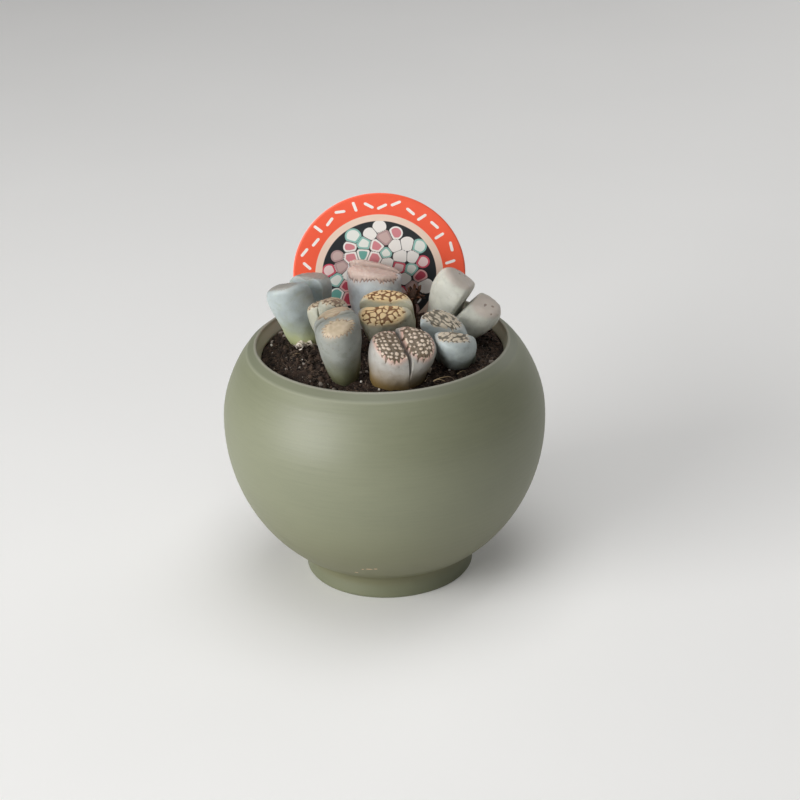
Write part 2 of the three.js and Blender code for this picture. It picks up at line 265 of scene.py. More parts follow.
def grid_faces(rows, columns):
    """Faces of a grid of rows that each close on themselves, where the first and the last
    row also close on one more vertex each."""
    step = np.arange(columns)
    following = (step + 1) % columns
    low = (np.arange(rows - 1) * columns)[:, None]
    high = low + columns
    quads = np.stack([low + step, low + following, high + following, high + step], -1)
    bottom = np.full(columns, rows * columns)
    last = (rows - 1) * columns
    fans = np.concatenate([
        np.stack([bottom, following, step], -1),
        np.stack([bottom + 1, last + step, last + following], -1),
    ])
    return quads.reshape(-1, 4), fans


def link(name, data):
    """A new object in the scene."""
    made = bpy.data.objects.new(name, data)
    bpy.context.scene.collection.objects.link(made)
    return made


def make_mesh(name, points, quads, triangles):
    """A mesh object of points in millimetres, in the row frame."""
    mesh = bpy.data.meshes.new(name)
    loops = np.concatenate([quads.ravel(), triangles.ravel()]).astype(np.int32)
    totals = np.concatenate([np.full(len(quads), 4), np.full(len(triangles), 3)])
    starts = np.concatenate([[0], np.cumsum(totals)[:-1]]).astype(np.int32)
    mesh.vertices.add(len(points))
    mesh.vertices.foreach_set("co", (np.asarray(points) * MM).astype(np.float32).ravel())
    mesh.loops.add(len(loops))
    mesh.loops.foreach_set("vertex_index", loops)
    mesh.polygons.add(len(totals))
    mesh.polygons.foreach_set("loop_start", starts)
    mesh.polygons.foreach_set("use_smooth", np.ones(len(totals), bool))
    mesh.update(calc_edges=True)
    mesh.validate()
    return link(name, mesh)


def surface(name, grid, poles, flip=False):
    """A closed mesh from a grid of shape (rows, columns, 3) and its two pole points."""
    quads, fans = grid_faces(*grid.shape[:2])
    if flip:
        quads, fans = quads[:, ::-1], fans[:, ::-1]
    return make_mesh(name, np.concatenate([grid.reshape(-1, 3), poles]), quads, fans)


def vertex_array(mesh, name="co", unit=MM):
    """The mesh's points in millimetres, or its normals."""
    flat = np.empty(len(mesh.vertices) * 3, np.float32)
    mesh.vertices.foreach_get(name, flat)
    return flat.reshape(-1, 3).astype(float) / unit


def store(mesh, **fields):
    """Keeps numbers for each vertex, under their names, for the material to read."""
    for name, values in fields.items():
        layer = mesh.attributes.new(name, "FLOAT", "POINT")
        layer.data.foreach_set("value", np.asarray(values, np.float32))


def dress(piece, material, slot, *nodes):
    """Gives a piece its material, fixes it to the part, and hides the solids that it stands
    for. The slot is not used."""
    piece.data.materials.append(material)
    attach(piece, BODY)
    if nodes:
        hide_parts(*nodes)


def joined_piece(name, shapes, tones, material, slot, *nodes):
    """One dressed piece from several (points, quads, triangles), each with its own tone."""
    offset = 0
    points, quads, triangles, counts = [], [], [], []
    for shape_points, shape_quads, shape_triangles in shapes:
        points.append(shape_points)
        quads.append(shape_quads + offset)
        triangles.append(shape_triangles + offset)
        counts.append(len(shape_points))
        offset += len(shape_points)
    piece = make_mesh(name, *(np.concatenate(part) for part in (points, quads, triangles)))
    if tones:
        store(piece.data, tone=np.repeat(tones, counts))
    dress(piece, material, slot, *nodes)


# Materials

# Chips of the glaze low on the front: place and half width in millimetres, and what their
# other half sizes are
CHIP_DEPTH, CHIP_HEIGHT = 1.5, 0.35
POT_CHIPS = (
    (-10.1, -44.2, 19.9, 0.5), (-7.8, -45.0, 20.3, 1.5), (-5.4, -45.7, 20.6, 0.8),
    (-12.5, -40.4, 16.6, 0.8),
)


def linear(colour):
    """Linear red, green, blue and alpha from a hex colour or from linear numbers."""
    if not isinstance(colour, str):
        return (*colour[:3], 1.0)
    parts = [int(colour[i:i + 2], 16) / 255 for i in (1, 3, 5)]
    curve = [p / 12.92 if p <= 0.04045 else ((p + 0.055) / 1.055) ** 2.4 for p in parts]
    return (*curve, 1.0)


def times(colour, factor):
    """A colour made lighter or darker."""
    return [min(1, c * factor) for c in linear(colour)[:3]]


class Value:
    """A node's output that takes part in Python expressions."""

    def __init__(self, recipe, socket):
        self.recipe = recipe
        self.socket = socket

    def math(self, operation, *operands):
        return self.recipe.node("Math", dict(enumerate(operands)), operation=operation)

    def __add__(self, other):
        return self.math("ADD", self, other)

    def __sub__(self, other):
        return self.math("SUBTRACT", self, other)

    def __rsub__(self, other):
        return self.math("SUBTRACT", other, self)

    def __mul__(self, other):
        return self.math("MULTIPLY", self, other)

    __radd__ = __add__
    __rmul__ = __mul__

    def between(self, low, high):
        """0 below low, 1 above high and smooth between them."""
        return self.recipe.node("MapRange", {"Value": self, "From Min": low, "From Max": high},
                                interpolation_type="SMOOTHSTEP")


class Recipe:
    """A node material while it is put together. An index by name reads what is stored for
    each vertex under that name."""

    def __init__(self, name):
        self.material = bpy.data.materials.new(name)
        self.material.use_nodes = True
        self.tree = self.material.node_tree
        self.shader = next(n for n in self.tree.nodes if n.type == "BSDF_PRINCIPLED")
        self.place = self.node("TexCoord", {}, "Object")

    def node(self, kind, values, output=0, **settings):
        """Adds a node, makes its settings, then fills or links its sockets."""
        made = self.tree.nodes.new("ShaderNode" + kind)
        for name, setting in settings.items():
            setattr(made, name, setting)
        for name, value in values.items():
            self.fill(made.inputs[name], value)
        return Value(self, made.outputs[output])

    def fill(self, socket, value):
        """Links or sets a socket. A colour may be a hex colour or numbers."""
        if isinstance(value, Value):
            self.tree.links.new(value.socket, socket)
        else:
            socket.default_value = linear(value) if socket.type == "RGBA" else value

    def __getitem__(self, name):
        return self.node("Attribute", {}, "Fac", attribute_name=name)

    def noise(self, size, detail=2.0, stretch=(1, 1, 1), roughness=0.5):
        """Noise with features of the given size in millimetres, stretched along an axis."""
        scale = [1 / (size * MM) / s for s in stretch]
        spot = self.node("Mapping", {"Vector": self.place, "Scale": scale})
        return self.node("TexNoise", {
            "Vector": spot, "Scale": 1.0, "Detail": detail, "Roughness": roughness})

    def spots(self, size):
        """Distance to the nearest of scattered points, about one for each size."""
        return self.node("TexVoronoi", {"Vector": self.place, "Scale": 1 / (size * MM)})

    def near(self, centre, sizes):
        """Distance from a point of the object in units of the half sizes, in millimetres."""
        spot = self.place
        for operation, numbers in (("SUBTRACT", centre), ("DIVIDE", sizes)):
            spot = self.node("VectorMath", {0: spot, 1: [n * MM for n in numbers]},
                             operation=operation)
        return self.node("VectorMath", {0: spot}, "Value", operation="LENGTH")

    def layers(self, colour, *layers):
        """A colour under layers of other colours, each laid on with its own share."""
        for share, layer in layers:
            colour = self.node("Mix", {0: share, 6: colour, 7: layer}, 2, data_type="RGBA")
        return colour

    def finish(self, colour, roughness, relief=None, depth=0.0, **uniform):
        """Fills the shader, with a bump from a relief of 0 to 1 that stands for a depth in
        millimetres. Uniform settings are named as the shader's sockets are."""
        inputs = {"Base Color": colour, "Roughness": roughness, **uniform}
        if relief:
            inputs["Normal"] = self.node("Bump", {
                "Height": relief, "Distance": depth * MM, "Strength": 1.0})
        for name, value in inputs.items():
            self.fill(self.shader.inputs[name.replace("_", " ")], value)
        return self.material


def pot_glaze(settings):
    """Satin glaze: faint level streaks, fine specks, a cloudy tone and small chips above the
    foot. Painted light is laid on as well: painted shade that makes the glaze darker and
    warmer towards the bottom, a foot that is partly its own greyer glaze and partly a painted
    bluish reflection, a lip that is partly a greyer glaze and partly painted shade, painted
    light on the inner neck, and painted highlights along the crest and on the brink."""
    mix = Recipe("pot glaze")
    streaks = mix.noise(1.0, 3.0, (14, 14, 0.45), 0.6)
    clouds = mix.noise(26, 3.0, (1.6, 1.6, 0.7))
    grain = mix.noise(0.5)
    light = times(settings.glaze, 1.22)
    tone = mix.layers(
        times(settings.glaze, 0.82), (streaks.between(0.3, 0.7), light),
        (0.8, settings.glaze), (grain.between(0.35, 0.8) * 0.2, light),
        (clouds.between(0.35, 0.7) * 0.28, light),
        # Painted shade: the glaze grows darker and warmer towards the bottom, standing in for the
        # shade and the warm reflected light low on the pot
        ((1 - mix["height"].between(0.05, 0.62)) * 0.75, settings.low_shade_glaze),
        # The foot: partly its own greyer glaze, partly a painted bluish reflection
        # The lip band inside the crest: partly a greyer glaze, partly painted shade
        (mix["foot"] * 0.8, settings.foot_glaze_and_reflection), (mix["lip"], settings.lip_glaze_and_shade),
        # Painted highlight: a pale line along the sharp crest on the left
        # Painted light: a pale glaze on the inner neck lifts its shade
        (mix["neck"], "#A3A38E"), (mix["crest"] * 0.3, "#A9AB98"),
        # Painted highlight: a pale line on the brink of the mouth
        (mix["brink"] * 0.7, "#A19E91"),
    )
    for *place, half in POT_CHIPS:
        chip = mix.near(place, (half, CHIP_DEPTH, CHIP_HEIGHT)) + grain * 0.5
        tone = mix.layers(tone, (1 - chip.between(0.9, 1.3), "#C9A987"))
    rough = 0.38 + streaks * 0.14 + clouds * 0.06
    return mix.finish(tone, rough, streaks * 0.6 + grain * 0.4, 0.03, Specular_IOR_Level=0.65)


def leaf_skin(name, palette):
    """Waxy leaf skin. The flank runs from a foot colour to the skin colour, with fine dots; the
    foot colour carries painted shade on the front left head and painted light on the centre
    head.
    The window is tinted, dark in its markings and darkest at their margin, with light
    islands in them."""
    mix = Recipe(name)
    window, dark = mix["window"], mix["dark"]
    cloud, fine = mix.noise(5, 3.0), mix.noise(0.9)
    dull = [0.5 * s + 0.3 * w for s, w in zip(linear(palette.skin), linear(palette.low))]
    height = mix["height"] + (cloud - 0.5) * 0.3
    dots = 1 - mix.spots(1.5).between(0.1, 0.2)
    markings = mix.layers(
        palette.margin, (dark.between(0.15, 1.1) * mix["opened"], palette.window),
        (fine.between(0.35, 0.75) * 0.2, palette.island),
        (mix["light"].between(-0.12, 0.12), palette.island),
    )
    tone = mix.layers(
        palette.skin, (cloud.between(0.35, 0.7), times(palette.skin, 1.14)),
        (mix.noise(2.4, 3.0).between(0.48, 0.72) * 0.4, dull),
        # The foot's colour up the flank, which carries painted shade on the front left head and
        # painted light on the centre head
        (1 - height.between(0.0, palette.fade), palette.low),
        (dots * mix["dotted"] * 0.5, palette.margin),
        (window.between(-2.2, 0.8) * mix["tinted"], palette.rim),
        (dark.between(-0.1, 0.14) * mix["marked"], markings),
    )
    pits = mix.spots(1.0).between(0.05, 0.4)
    relief = cloud * 0.3 + fine * 0.3 + mix.noise(0.35, 1.0) * 0.25 + pits * 0.15
    rough = 0.46 + fine * 0.14 - window.between(0, 0.5) * 0.08
    return mix.finish(
        tone, rough, relief, 0.13, Subsurface_Weight=0.1,
        Subsurface_Radius=(0.0024, 0.0018, 0.0010), Subsurface_Scale=1.0,
        Specular_IOR_Level=0.38,
    )


def soil_finish(settings):
    """Damp peat: near black hollows, dark partly from the peat's own tone and partly from painted
    shade, brown crumbs, and a fibrous grain.
    """
    mix = Recipe("soil")
    grain = mix.noise(0.6, 4.0, roughness=0.7)
    brown = times(settings.soil, 3.0)
    colour = mix.layers(
        settings.soil, (mix["tone"].between(0.2, 0.9), brown),
        (grain.between(0.5, 0.75) * 0.5, brown),
        (mix.noise(0.5, 3.0, (5, 1, 1)).between(0.6, 0.7) * 0.75, "#8A7663"),
        (mix.noise(0.35).between(0.64, 0.72) * 0.8, "#8F867B"),
    )
    return mix.finish(colour, 0.75 + grain * 0.2, grain, 0.7, Specular_IOR_Level=0.3)


def crumb_finish():
    """Bark and peat crumbs, each with its own brown."""
    mix = Recipe("crumbs")
    tone, grain = mix["tone"], mix.noise(0.4, 3.0)
    colour = mix.layers(
        "#15100C", (tone.between(0.1, 0.9), "#59483C"), (tone.between(0.91, 0.93), "#8F857C"),
        (grain.between(0.5, 0.8) * 0.5, "#5C4C40"),
    )
    return mix.finish(colour, 0.8 + grain * 0.15, grain, 0.15, Specular_IOR_Level=0.3)


def perlite_finish():
    """White volcanic grains with pitted, slightly stained sides."""
    mix = Recipe("perlite")
    grain = mix.noise(0.5, 3.0)
    colour = mix.layers("#CFC8BD", (grain.between(0.4, 0.75), "#F4F1EA"))
    return mix.finish(colour, 0.7 + grain * 0.2, grain, 0.12)


def dry_finish(name, dark, light):
    """Papery dried tissue with veins along its length."""
    mix = Recipe(name)
    veins = mix.noise(0.5, 3.0, (1, 1, 3))
    colour = mix.layers(dark, (mix["tone"], light), (veins.between(0.45, 0.7) * 0.45, dark))
    return mix.finish(colour, 0.6 + veins * 0.25, veins, 0.15, Specular_IOR_Level=0.3)


# Dots from a share of the hue upwards: colour of the outside and of the middle
DOT_COLOURS = (
    (0.3, "#F4F1EC", "#D98C93"), (0.45, "#E6B3B2", "#B7485A"), (0.58, "#93C6BC", "#EDF1EA"),
    (0.7, "#B99A98", "#CDB3AE"), (0.8, "#F4F1EC", "#6FAEA4"), (0.9, "#D4566A", "#F2D8D6"),
)


def label_print(settings):
    """Printed card: an orange ring with white strokes, a cream ring and a dark disc of
    ringed dots on the front, a bare pale back, and fine paper grain."""
    mix = Recipe("label print")
    radius, dot, hue = mix["radius"], mix["dot"], mix["hue"]
    grain = mix.noise(0.3)
    ring = mix.layers(settings.ring, (mix.noise(9) * 0.25, "#F67050"),
                      (mix["stroke"].between(-0.06, 0.06), "#FBF6F0"))
    spot = "#F4F1EC"
    for start, outside, inside in DOT_COLOURS:
        ringed = mix.layers(outside, (dot.between(0.55, 0.7), inside))
        spot = mix.layers(spot, (hue.between(start - 0.001, start + 0.001), ringed))
    edge, end = settings.disc_radius, settings.disc_radius + settings.band_width
    colour = mix.layers(
        "#20242A", (grain * 0.6, "#39403F"), (dot.between(-0.06, 0.06), spot),
        (radius.between(edge - 0.1, edge + 0.1), "#F3D9C6"),
        (radius.between(end - 0.1, end + 0.1), ring), (mix["back"], "#ECE8E2"),
    )
    return mix.finish(colour, 0.36 + grain * 0.12, grain, 0.02)


def floor_finish():
    """Plain pale studio floor with a trace of unevenness."""
    mix = Recipe("floor")
    cloud = mix.noise(120)
    return mix.finish(mix.layers("#F2F1EF", (cloud, "#F6F5F3")), 0.7 + cloud * 0.1,
                      Emission_Color="#FFFFFF", Emission_Strength=0.07)


# Properties

def amount(name, description, default):
    """A plain number for the user to change."""
    return FloatProperty(name=name, description=description, default=default)


def in_mm(name, description, default):
    """A size in millimetres for the user to change."""
    return amount(name, description + ", in millimetres", default)


def whole(name, description, default):
    """A whole number for the user to change."""
    return IntProperty(name=name, description=description, default=default)


def physical(name, description, default, unit):
    """A quantity with a unit of Blender's own for the user to change."""
    return FloatProperty(name=name, description=description, default=default, unit=unit)


def paint(name, description, default):
    """A colour for the user to change."""
    return FloatVectorProperty(name=name, description=description, subtype="COLOR", size=3,
                               default=linear(default)[:3])


# Pot

def wall_radius(height, pot, inset=0.0):
    """Radius of the bowl at a height. Below the belly it is a quarter ellipse about a point
    near the axis, and above it a tighter quarter ellipse about a point near the mouth."""
    low = (pot.belly - height) / (pot.belly - 1 - inset)
    high = (height - pot.belly) / pot.upper_reach
    lower = pot.lower_centre + (pot.radius - pot.lower_centre - inset) * np.sqrt(
        np.clip(1 - low ** 2, 0, 1))
    upper = pot.upper_centre + (pot.radius - pot.upper_centre - inset) * np.sqrt(
        np.clip(1 - high ** 2, 0, 1))
    return np.where(height < pot.belly, lower, upper)


def rounded(corners, radii, steps=6):
    """A polyline with each inner corner replaced by a quadratic curve of about the given
    radius, or of its own radius where there are several."""
    corners = [np.array(c, float) for c in corners]
    radii = np.broadcast_to(radii, len(corners) - 2)
    points = [corners[0]]
    share = np.linspace(0, 1, steps + 1)[:, None]
    for before, corner, after, radius in zip(corners, corners[1:], corners[2:], radii):
        entry = corner + (before - corner) * min(0.45, radius / np.linalg.norm(before - corner))
        leave = corner + (after - corner) * min(0.45, radius / np.linalg.norm(after - corner))
        curve = (1 - share) ** 2 * entry + 2 * share * (1 - share) * corner + share ** 2 * leave
        points.extend(curve)
    points.append(corners[-1])
    return np.array(points)


def resampled(line, count):
    """The polyline again as the given count of points at an even spacing along it."""
    lengths = np.concatenate([[0], np.cumsum(np.linalg.norm(np.diff(line, axis=0), axis=1))])
    places = np.linspace(0, lengths[-1], count)
    return np.stack([np.interp(places, lengths, line[:, k]) for k in range(line.shape[1])], -1)


# Radii of the corners at the foot, at the rim past its crest and at the inner floor, how
# far the recess's side slopes and the foot draws in, how high above the foot the bowl's own
# curve starts, how far the lip slopes in and down, and how many points the outside, the rim
# and the inside have
FOOT_CORNERS = (0.7, 0.7, 0.7, 3.4)
RIM_CORNERS = (1.0, 1.0, 0.7)
FLOOR_CORNER = 2.0
RECESS_SLOPE = 1.2
FOOT_DRAFT = 0.7
BOWL_START = 4.2
LIP_SLOPE, LIP_DROP = 0.2, 1.8
PROFILE_POINTS = (190, 52, 20)


def pot_profile(pot, rounding):
    """Radius and height from the middle of the underside, round the foot, up the outside,
    over a crest with the given rounding and over the lip, and down the neck and the inside
    to the middle of the floor. The points lie closest together at the rim."""
    heights = np.linspace(pot.foot_height + BOWL_START, pot.rim_start, 90)
    drawn_in = (wall_radius(pot.crest_height, pot) - pot.crest) * smoothstep(
        pot.shoulder, pot.crest_height, heights)
    outside = np.stack([wall_radius(heights, pot) - drawn_in, heights], -1)
    heights = np.linspace(pot.neck_start, pot.floor + 1.5, 60)
    inside = np.stack([wall_radius(heights, pot, pot.wall), heights], -1)
    foot = rounded([
        (0, pot.recess), (pot.recess_radius - RECESS_SLOPE, pot.recess),
        (pot.recess_radius, 0), (pot.foot_radius, 0),
        (pot.foot_radius - FOOT_DRAFT, pot.foot_height), outside[0],
    ], FOOT_CORNERS)
    rim = rounded([
        outside[-1], (pot.crest, pot.crest_height), (pot.mouth, pot.height),
        (pot.mouth - LIP_SLOPE, pot.height - LIP_DROP), (pot.neck, pot.neck_height),
        inside[0],
    ], (rounding, *RIM_CORNERS))
    floor = rounded(
        [inside[-1], (inside[-1][0] - 4, pot.floor), (0, pot.floor)], FLOOR_CORNER)
    parts = np.concatenate([foot, outside[1:-1]]), rim, np.concatenate([inside[1:-1], floor])
    return np.concatenate([resampled(*part) for part in zip(parts, PROFILE_POINTS)])


class PotSettings(bpy.types.PropertyGroup):
    """Sizes in millimetres and colours of the pot."""

    radius: in_mm("Radius", "Radius at the belly", float(POT_HIGH[0] - POT_LOW[0]) / 2)
    height: in_mm("Height", "Height of the rim", float(POT_HIGH[2] - POT_LOW[2]))
    belly: in_mm("Belly height", "Height of the widest ring", 61.0)
    mouth: in_mm("Mouth radius", "Radius of the opening", 46.3)
    neck: in_mm("Neck radius", "Inside radius where the soil meets the wall", 44.5)
    neck_height: in_mm("Neck height", "Height of the neck", 86.3)
    neck_start: in_mm("Neck start", "Height where the inside draws in to the neck", 76.0)
    wall: in_mm("Wall", "Thickness of the wall", 4.5)
    floor: in_mm("Floor", "Height of the inner floor", 12.0)
    foot_radius: in_mm("Foot radius", "Radius of the foot", 31.7)
    foot_height: in_mm("Foot height", "Height of the foot", 8.3)
    recess: in_mm("Recess", "Depth of the recess underneath", 2.5)
    recess_radius: in_mm("Recess radius", "Radius of the recess", 27.0)
    lower_centre: in_mm("Lower centre", "Radius where the lower ellipse is centred", 6.0)
    upper_centre: in_mm("Upper centre", "Radius where the upper ellipse is centred", 41.0)
    upper_reach: in_mm("Upper reach", "Height of the upper ellipse above the belly", 34.0)
    rim_start: in_mm("Rim start", "Height where the rim's crest begins", 85.4)
    shoulder: in_mm("Shoulder", "Height from where the wall draws in to the crest", 66.0)
    crest_height: in_mm("Crest height", "Height of the rim's crest", 89.3)
    crest: in_mm("Crest radius", "Radius of the rim's crest", 50.0)
    glaze: paint("Glaze", "Colour of the body", "#787B63")
    # Painted shade low on the pot: the darker, warmer glaze below the belly
    low_shade_glaze: paint("Low glaze", "Colour below the belly", "#615F3F")
    # Partly a greyer glaze on the lip, partly painted shade
    lip_glaze_and_shade: paint("Lip glaze", "Colour of the lip", "#747762")
    # Partly the foot's own greyer glaze, partly a painted bluish reflection
    foot_glaze_and_reflection: paint("Foot glaze", "Colour of the foot", "#6E7259")


# Sides of the pot, height and depth of its throwing lines, and how round its crest is on
# the left and on the right
POT_SIDES = 300
THROW_PITCH = 2.3
THROW_DEPTH = 0.035
SHARP_CREST, SOFT_CREST = 0.35, 3.2


def crest_share(angle):
    """How sharp the rim's crest is round the pot: fully on the left, not at all on the
    right of the front."""
    return smoothstep(-0.5, 0.35, np.cos(angle - math.radians(195)))


class LITHOPS_OT_pot(bpy.types.Operator):
    """Turns the pot from its profile, with faint throwing lines"""

    bl_idname = "lithops.pot"
    bl_label = "Pot"

    def execute(self, context):
        """The profile is carried round the axis. Its crest is sharp on the left and fades
        to a soft shoulder on the right. Its radius swells and sinks a little in even rings
        with the height, as a thrown and painted wall does."""
        pot = context.scene.lithops_pot
        sharp, soft = (pot_profile(pot, r)[1:-1] for r in (SHARP_CREST, SOFT_CREST))
        angle = np.arange(POT_SIDES) / POT_SIDES * TURN
        share = crest_share(angle)
        radius, height = (
            soft[:, k:k + 1] + (sharp - soft)[:, k:k + 1] * share for k in (0, 1))
        lines = 1 - np.sin(height / THROW_PITCH * TURN + 0.6 * np.sin(height * 0.7))
        wall = (height > pot.foot_height + 2) & (height < pot.rim_start) & (radius > pot.crest)
        radius = radius - THROW_DEPTH * 0.5 * lines * wall
        grid = xyz(radius * np.cos(angle), radius * np.sin(angle), height)
        piece = surface("pot_body", grid, [(0, 0, pot.recess), (0, 0, pot.floor)])
        self.mark(piece.data, pot)
        dress(piece, pot_glaze(pot), "pot_glaze", "pot")
        return {"FINISHED"}

    def mark(self, mesh, pot):
        """Where the foot's tone, the lip, its neck, its crest and its brink are, and the height.
        The height sets the painted shade low on the pot, the foot its partly painted reflection,
        the lip its partly painted shade, the neck its painted light, and the crest and the brink
        their painted highlights.
        """
        x, y, height = vertex_array(mesh).T
        angle = np.arctan2(y, x)
        radius = np.hypot(x, y)
        crest = np.hypot(height - pot.crest_height, radius - pot.crest)
        # Distance from the brink, where a painted highlight runs round the mouth
        brink = np.hypot(height - pot.height + 0.3, radius - pot.mouth - 0.2)
        inward = smoothstep(pot.crest + 0.2, pot.crest - 0.2, radius) * (
            height > pot.neck_height - 1)
        neck = smoothstep(pot.mouth + 0.3, pot.mouth - 0.1, radius) * inward
        store(
            mesh, foot=1 - smoothstep(pot.foot_height - 5, pot.foot_height - 1, height),
            # Where the painted highlight along the crest goes
            crest=(1 - smoothstep(0.15, 0.6, crest)) * crest_share(angle),
            brink=1 - smoothstep(0.5, 1.0, brink), lip=inward, height=height / pot.height,
            # Where the painted light on the inner neck goes
            neck=neck * smoothstep(pot.height - 0.6, pot.height - 1.6, height),
        )


# Heads

def leaf_points(head, side, around, flank, dome):
    """One leaf as rings between two poles. x runs along the fissure, y away from it, z up.
    The rings widen on a sine up to the shoulder and close on a superellipse above it. A
    ring is half an ellipse away from the fissure and a flatter superellipse towards it. Low
    down the two leaves run into each other, and higher up they stand apart and splay."""
    leaf = head.leaves[side]
    share = np.arange(flank) / flank
    turn = np.arange(dome) / dome * (math.pi / 2)
    width = np.concatenate([
        leaf.foot + (1 - leaf.foot) * np.sin(share * math.pi / 2),
        np.cos(turn) ** (2 / leaf.flatness), [0, 0],
    ])
    height = np.concatenate([
        -BURIED_DEPTH + (leaf.shoulder + BURIED_DEPTH) * share,
        leaf.shoulder + (leaf.top - leaf.shoulder) * np.sin(turn) ** (2 / leaf.flatness),
        [-BURIED_DEPTH, leaf.top],
    ])
    angle = np.arange(around) / around * TURN
    cosine, sine = np.cos(angle), np.sin(angle)
    flatter = lambda value: np.sign(value) * np.abs(value) ** (2 / INNER_FLATNESS)
    inner = sine < 0
    width, height = width[:, None], height[:, None]
    parting = smoothstep(leaf.shoulder * FISSURE_START, leaf.shoulder * FISSURE_FULL, height)
    seam = -SEAM_OVERLAP + (FISSURE_WIDTH / 2 + head.inner + SEAM_OVERLAP) * parting
    along = leaf.length * width * np.where(inner, flatter(cosine), cosine)
    crown = (height > leaf.shoulder) * (1 - width) * CROWN_SHIFT * leaf.depth
    wall = head.inner * width ** INNER_FULLNESS * flatter(sine)
    away = np.where(inner, wall, leaf.depth * width * sine) + crown
    tilt = (leaf.slope * along - leaf.fall * away) * smoothstep(0, leaf.shoulder, height)
    rise = (np.clip(height, 0, None) / leaf.top) ** SPLAY_POWER
    across = side * (seam + away + leaf.splay * rise)
    grid = xyz(along + leaf.drift * rise, across, height + tilt)
    return grid[:-2], grid[-2:, 0]


def head_frame(head):
    """The place of a head, and the matrix that turns it about its own axis and then leans
    it as a whole."""
    east, north = (math.radians(a) for a in head.lean)
    axis = Vector((-north, east, 0)).normalized()
    lean = Matrix.Rotation(math.hypot(east, north), 3, axis)
    matrix = np.array(lean @ Matrix.Rotation(math.radians(head.turn), 3, "Z"))
    return np.array([*head.place, SOIL_LEVEL]), matrix


def developed(head, side, points):
    """Skin coordinates about the middle of a leaf's top: the direction seen from above, and
    the distance over the skin, which is the level distance and most of the drop."""
    leaf = head.leaves[side]
    x, y, z = points.T
    rise = (np.clip(z, 0, None) / leaf.top) ** SPLAY_POWER
    x = x - leaf.drift * rise
    away = side * y - leaf.splay * rise - FISSURE_WIDTH / 2 - head.inner
    z = z - (leaf.slope * x - leaf.fall * away) * smoothstep(0, leaf.shoulder, z)
    y = away - WINDOW_SHIFT * leaf.depth
    level = np.hypot(x, y) + 1e-6
    reach = level + 0.8 * np.clip(leaf.top - z, 0, None)
    return x / level * reach, y / level * reach


def leaf_marks(head, side, points, seed):
    """Three fields over the skin of a leaf, in millimetres: how far inside the window each
    point lies, how far inside the dark markings and how far inside a light island."""
    pattern = head.patterns[side]
    kind = KINDS[pattern.kind]
    x, y = developed(head, side, points)
    x, y = x - pattern.centre[0], y - pattern.centre[1]
    angle = np.arctan2(y / pattern.size[1], x / pattern.size[0])
    ring = np.hypot(x / pattern.size[0], y / pattern.size[1])
    depth = (1 - ring) * (pattern.size[0] + pattern.size[1]) / 2
    phase = angle * pattern.teeth + 1.8 * waves(points, 4.0, seed + 1, 1)
    fingers = (0.5 + 0.5 * np.sin(phase)) ** 1.5
    length = 0.75 + 0.5 * waves(points, 2.2, seed + 2, 1)
    ragged = kind.ragged * waves(points, 5.0, seed, 2)
    window = depth + ragged + pattern.reach * (fingers * length - 0.4)
    turn = math.radians(pattern.angle)
    along = (x * math.cos(turn) + y * math.sin(turn)) / pattern.stretch
    across = y * math.cos(turn) - x * math.sin(turn)
    bend = kind.bend * pattern.cell
    along = along + bend * waves(points, 4.5, seed + 3, 1)
    across = across + bend * waves(points, 4.5, seed + 4, 1)
    first, second, pick = cells(along, across, pattern.cell, seed + 5, kind.jitter)
    none = np.full(len(points), -2.0)
    if pattern.kind == "net":
        gaps = 0.5 * smoothstep(0.5, 1.0, waves(points, 3.0, seed + 6, 1))
        groove = pattern.island - (second - first) / 2 - gaps
        return depth, np.minimum(window, groove), none
    if pattern.kind == "bare":
        spot = pattern.island * (pick > 0.72) * pick - first
        return depth, np.minimum(depth, spot), none
    if pattern.kind == "plain":
        return depth, window, 0.1 * waves(points, 1.6, seed + 6, 1) - 0.06
    least, more = (0.5, 0.6) if pattern.kind == "faint" else (0.65, 0.7)
    return depth, window, pattern.island * (least + more * pick) - first


# Fields and traits that are kept for the skin material, and up to what angle in degrees
# its faces are smooth
FIELDS = ("window", "dark", "light")
TRAITS = ("marked", "tinted", "opened", "dotted")
SMOOTH_ANGLE = 48


class HeadSettings(bpy.types.PropertyGroup):
    """How finely the heads are worked."""

    around: whole("Points around", "Points round each leaf", 150)
    flank: whole("Flank rings", "Rings from the foot to the shoulder", 40)
    dome: whole("Top rings", "Rings from the shoulder to the crown", 64)
    unevenness: in_mm("Unevenness", "Swelling of the skin", 0.2)
    relief: amount("Relief", "Share of the relief of windows and islands", 1.0)


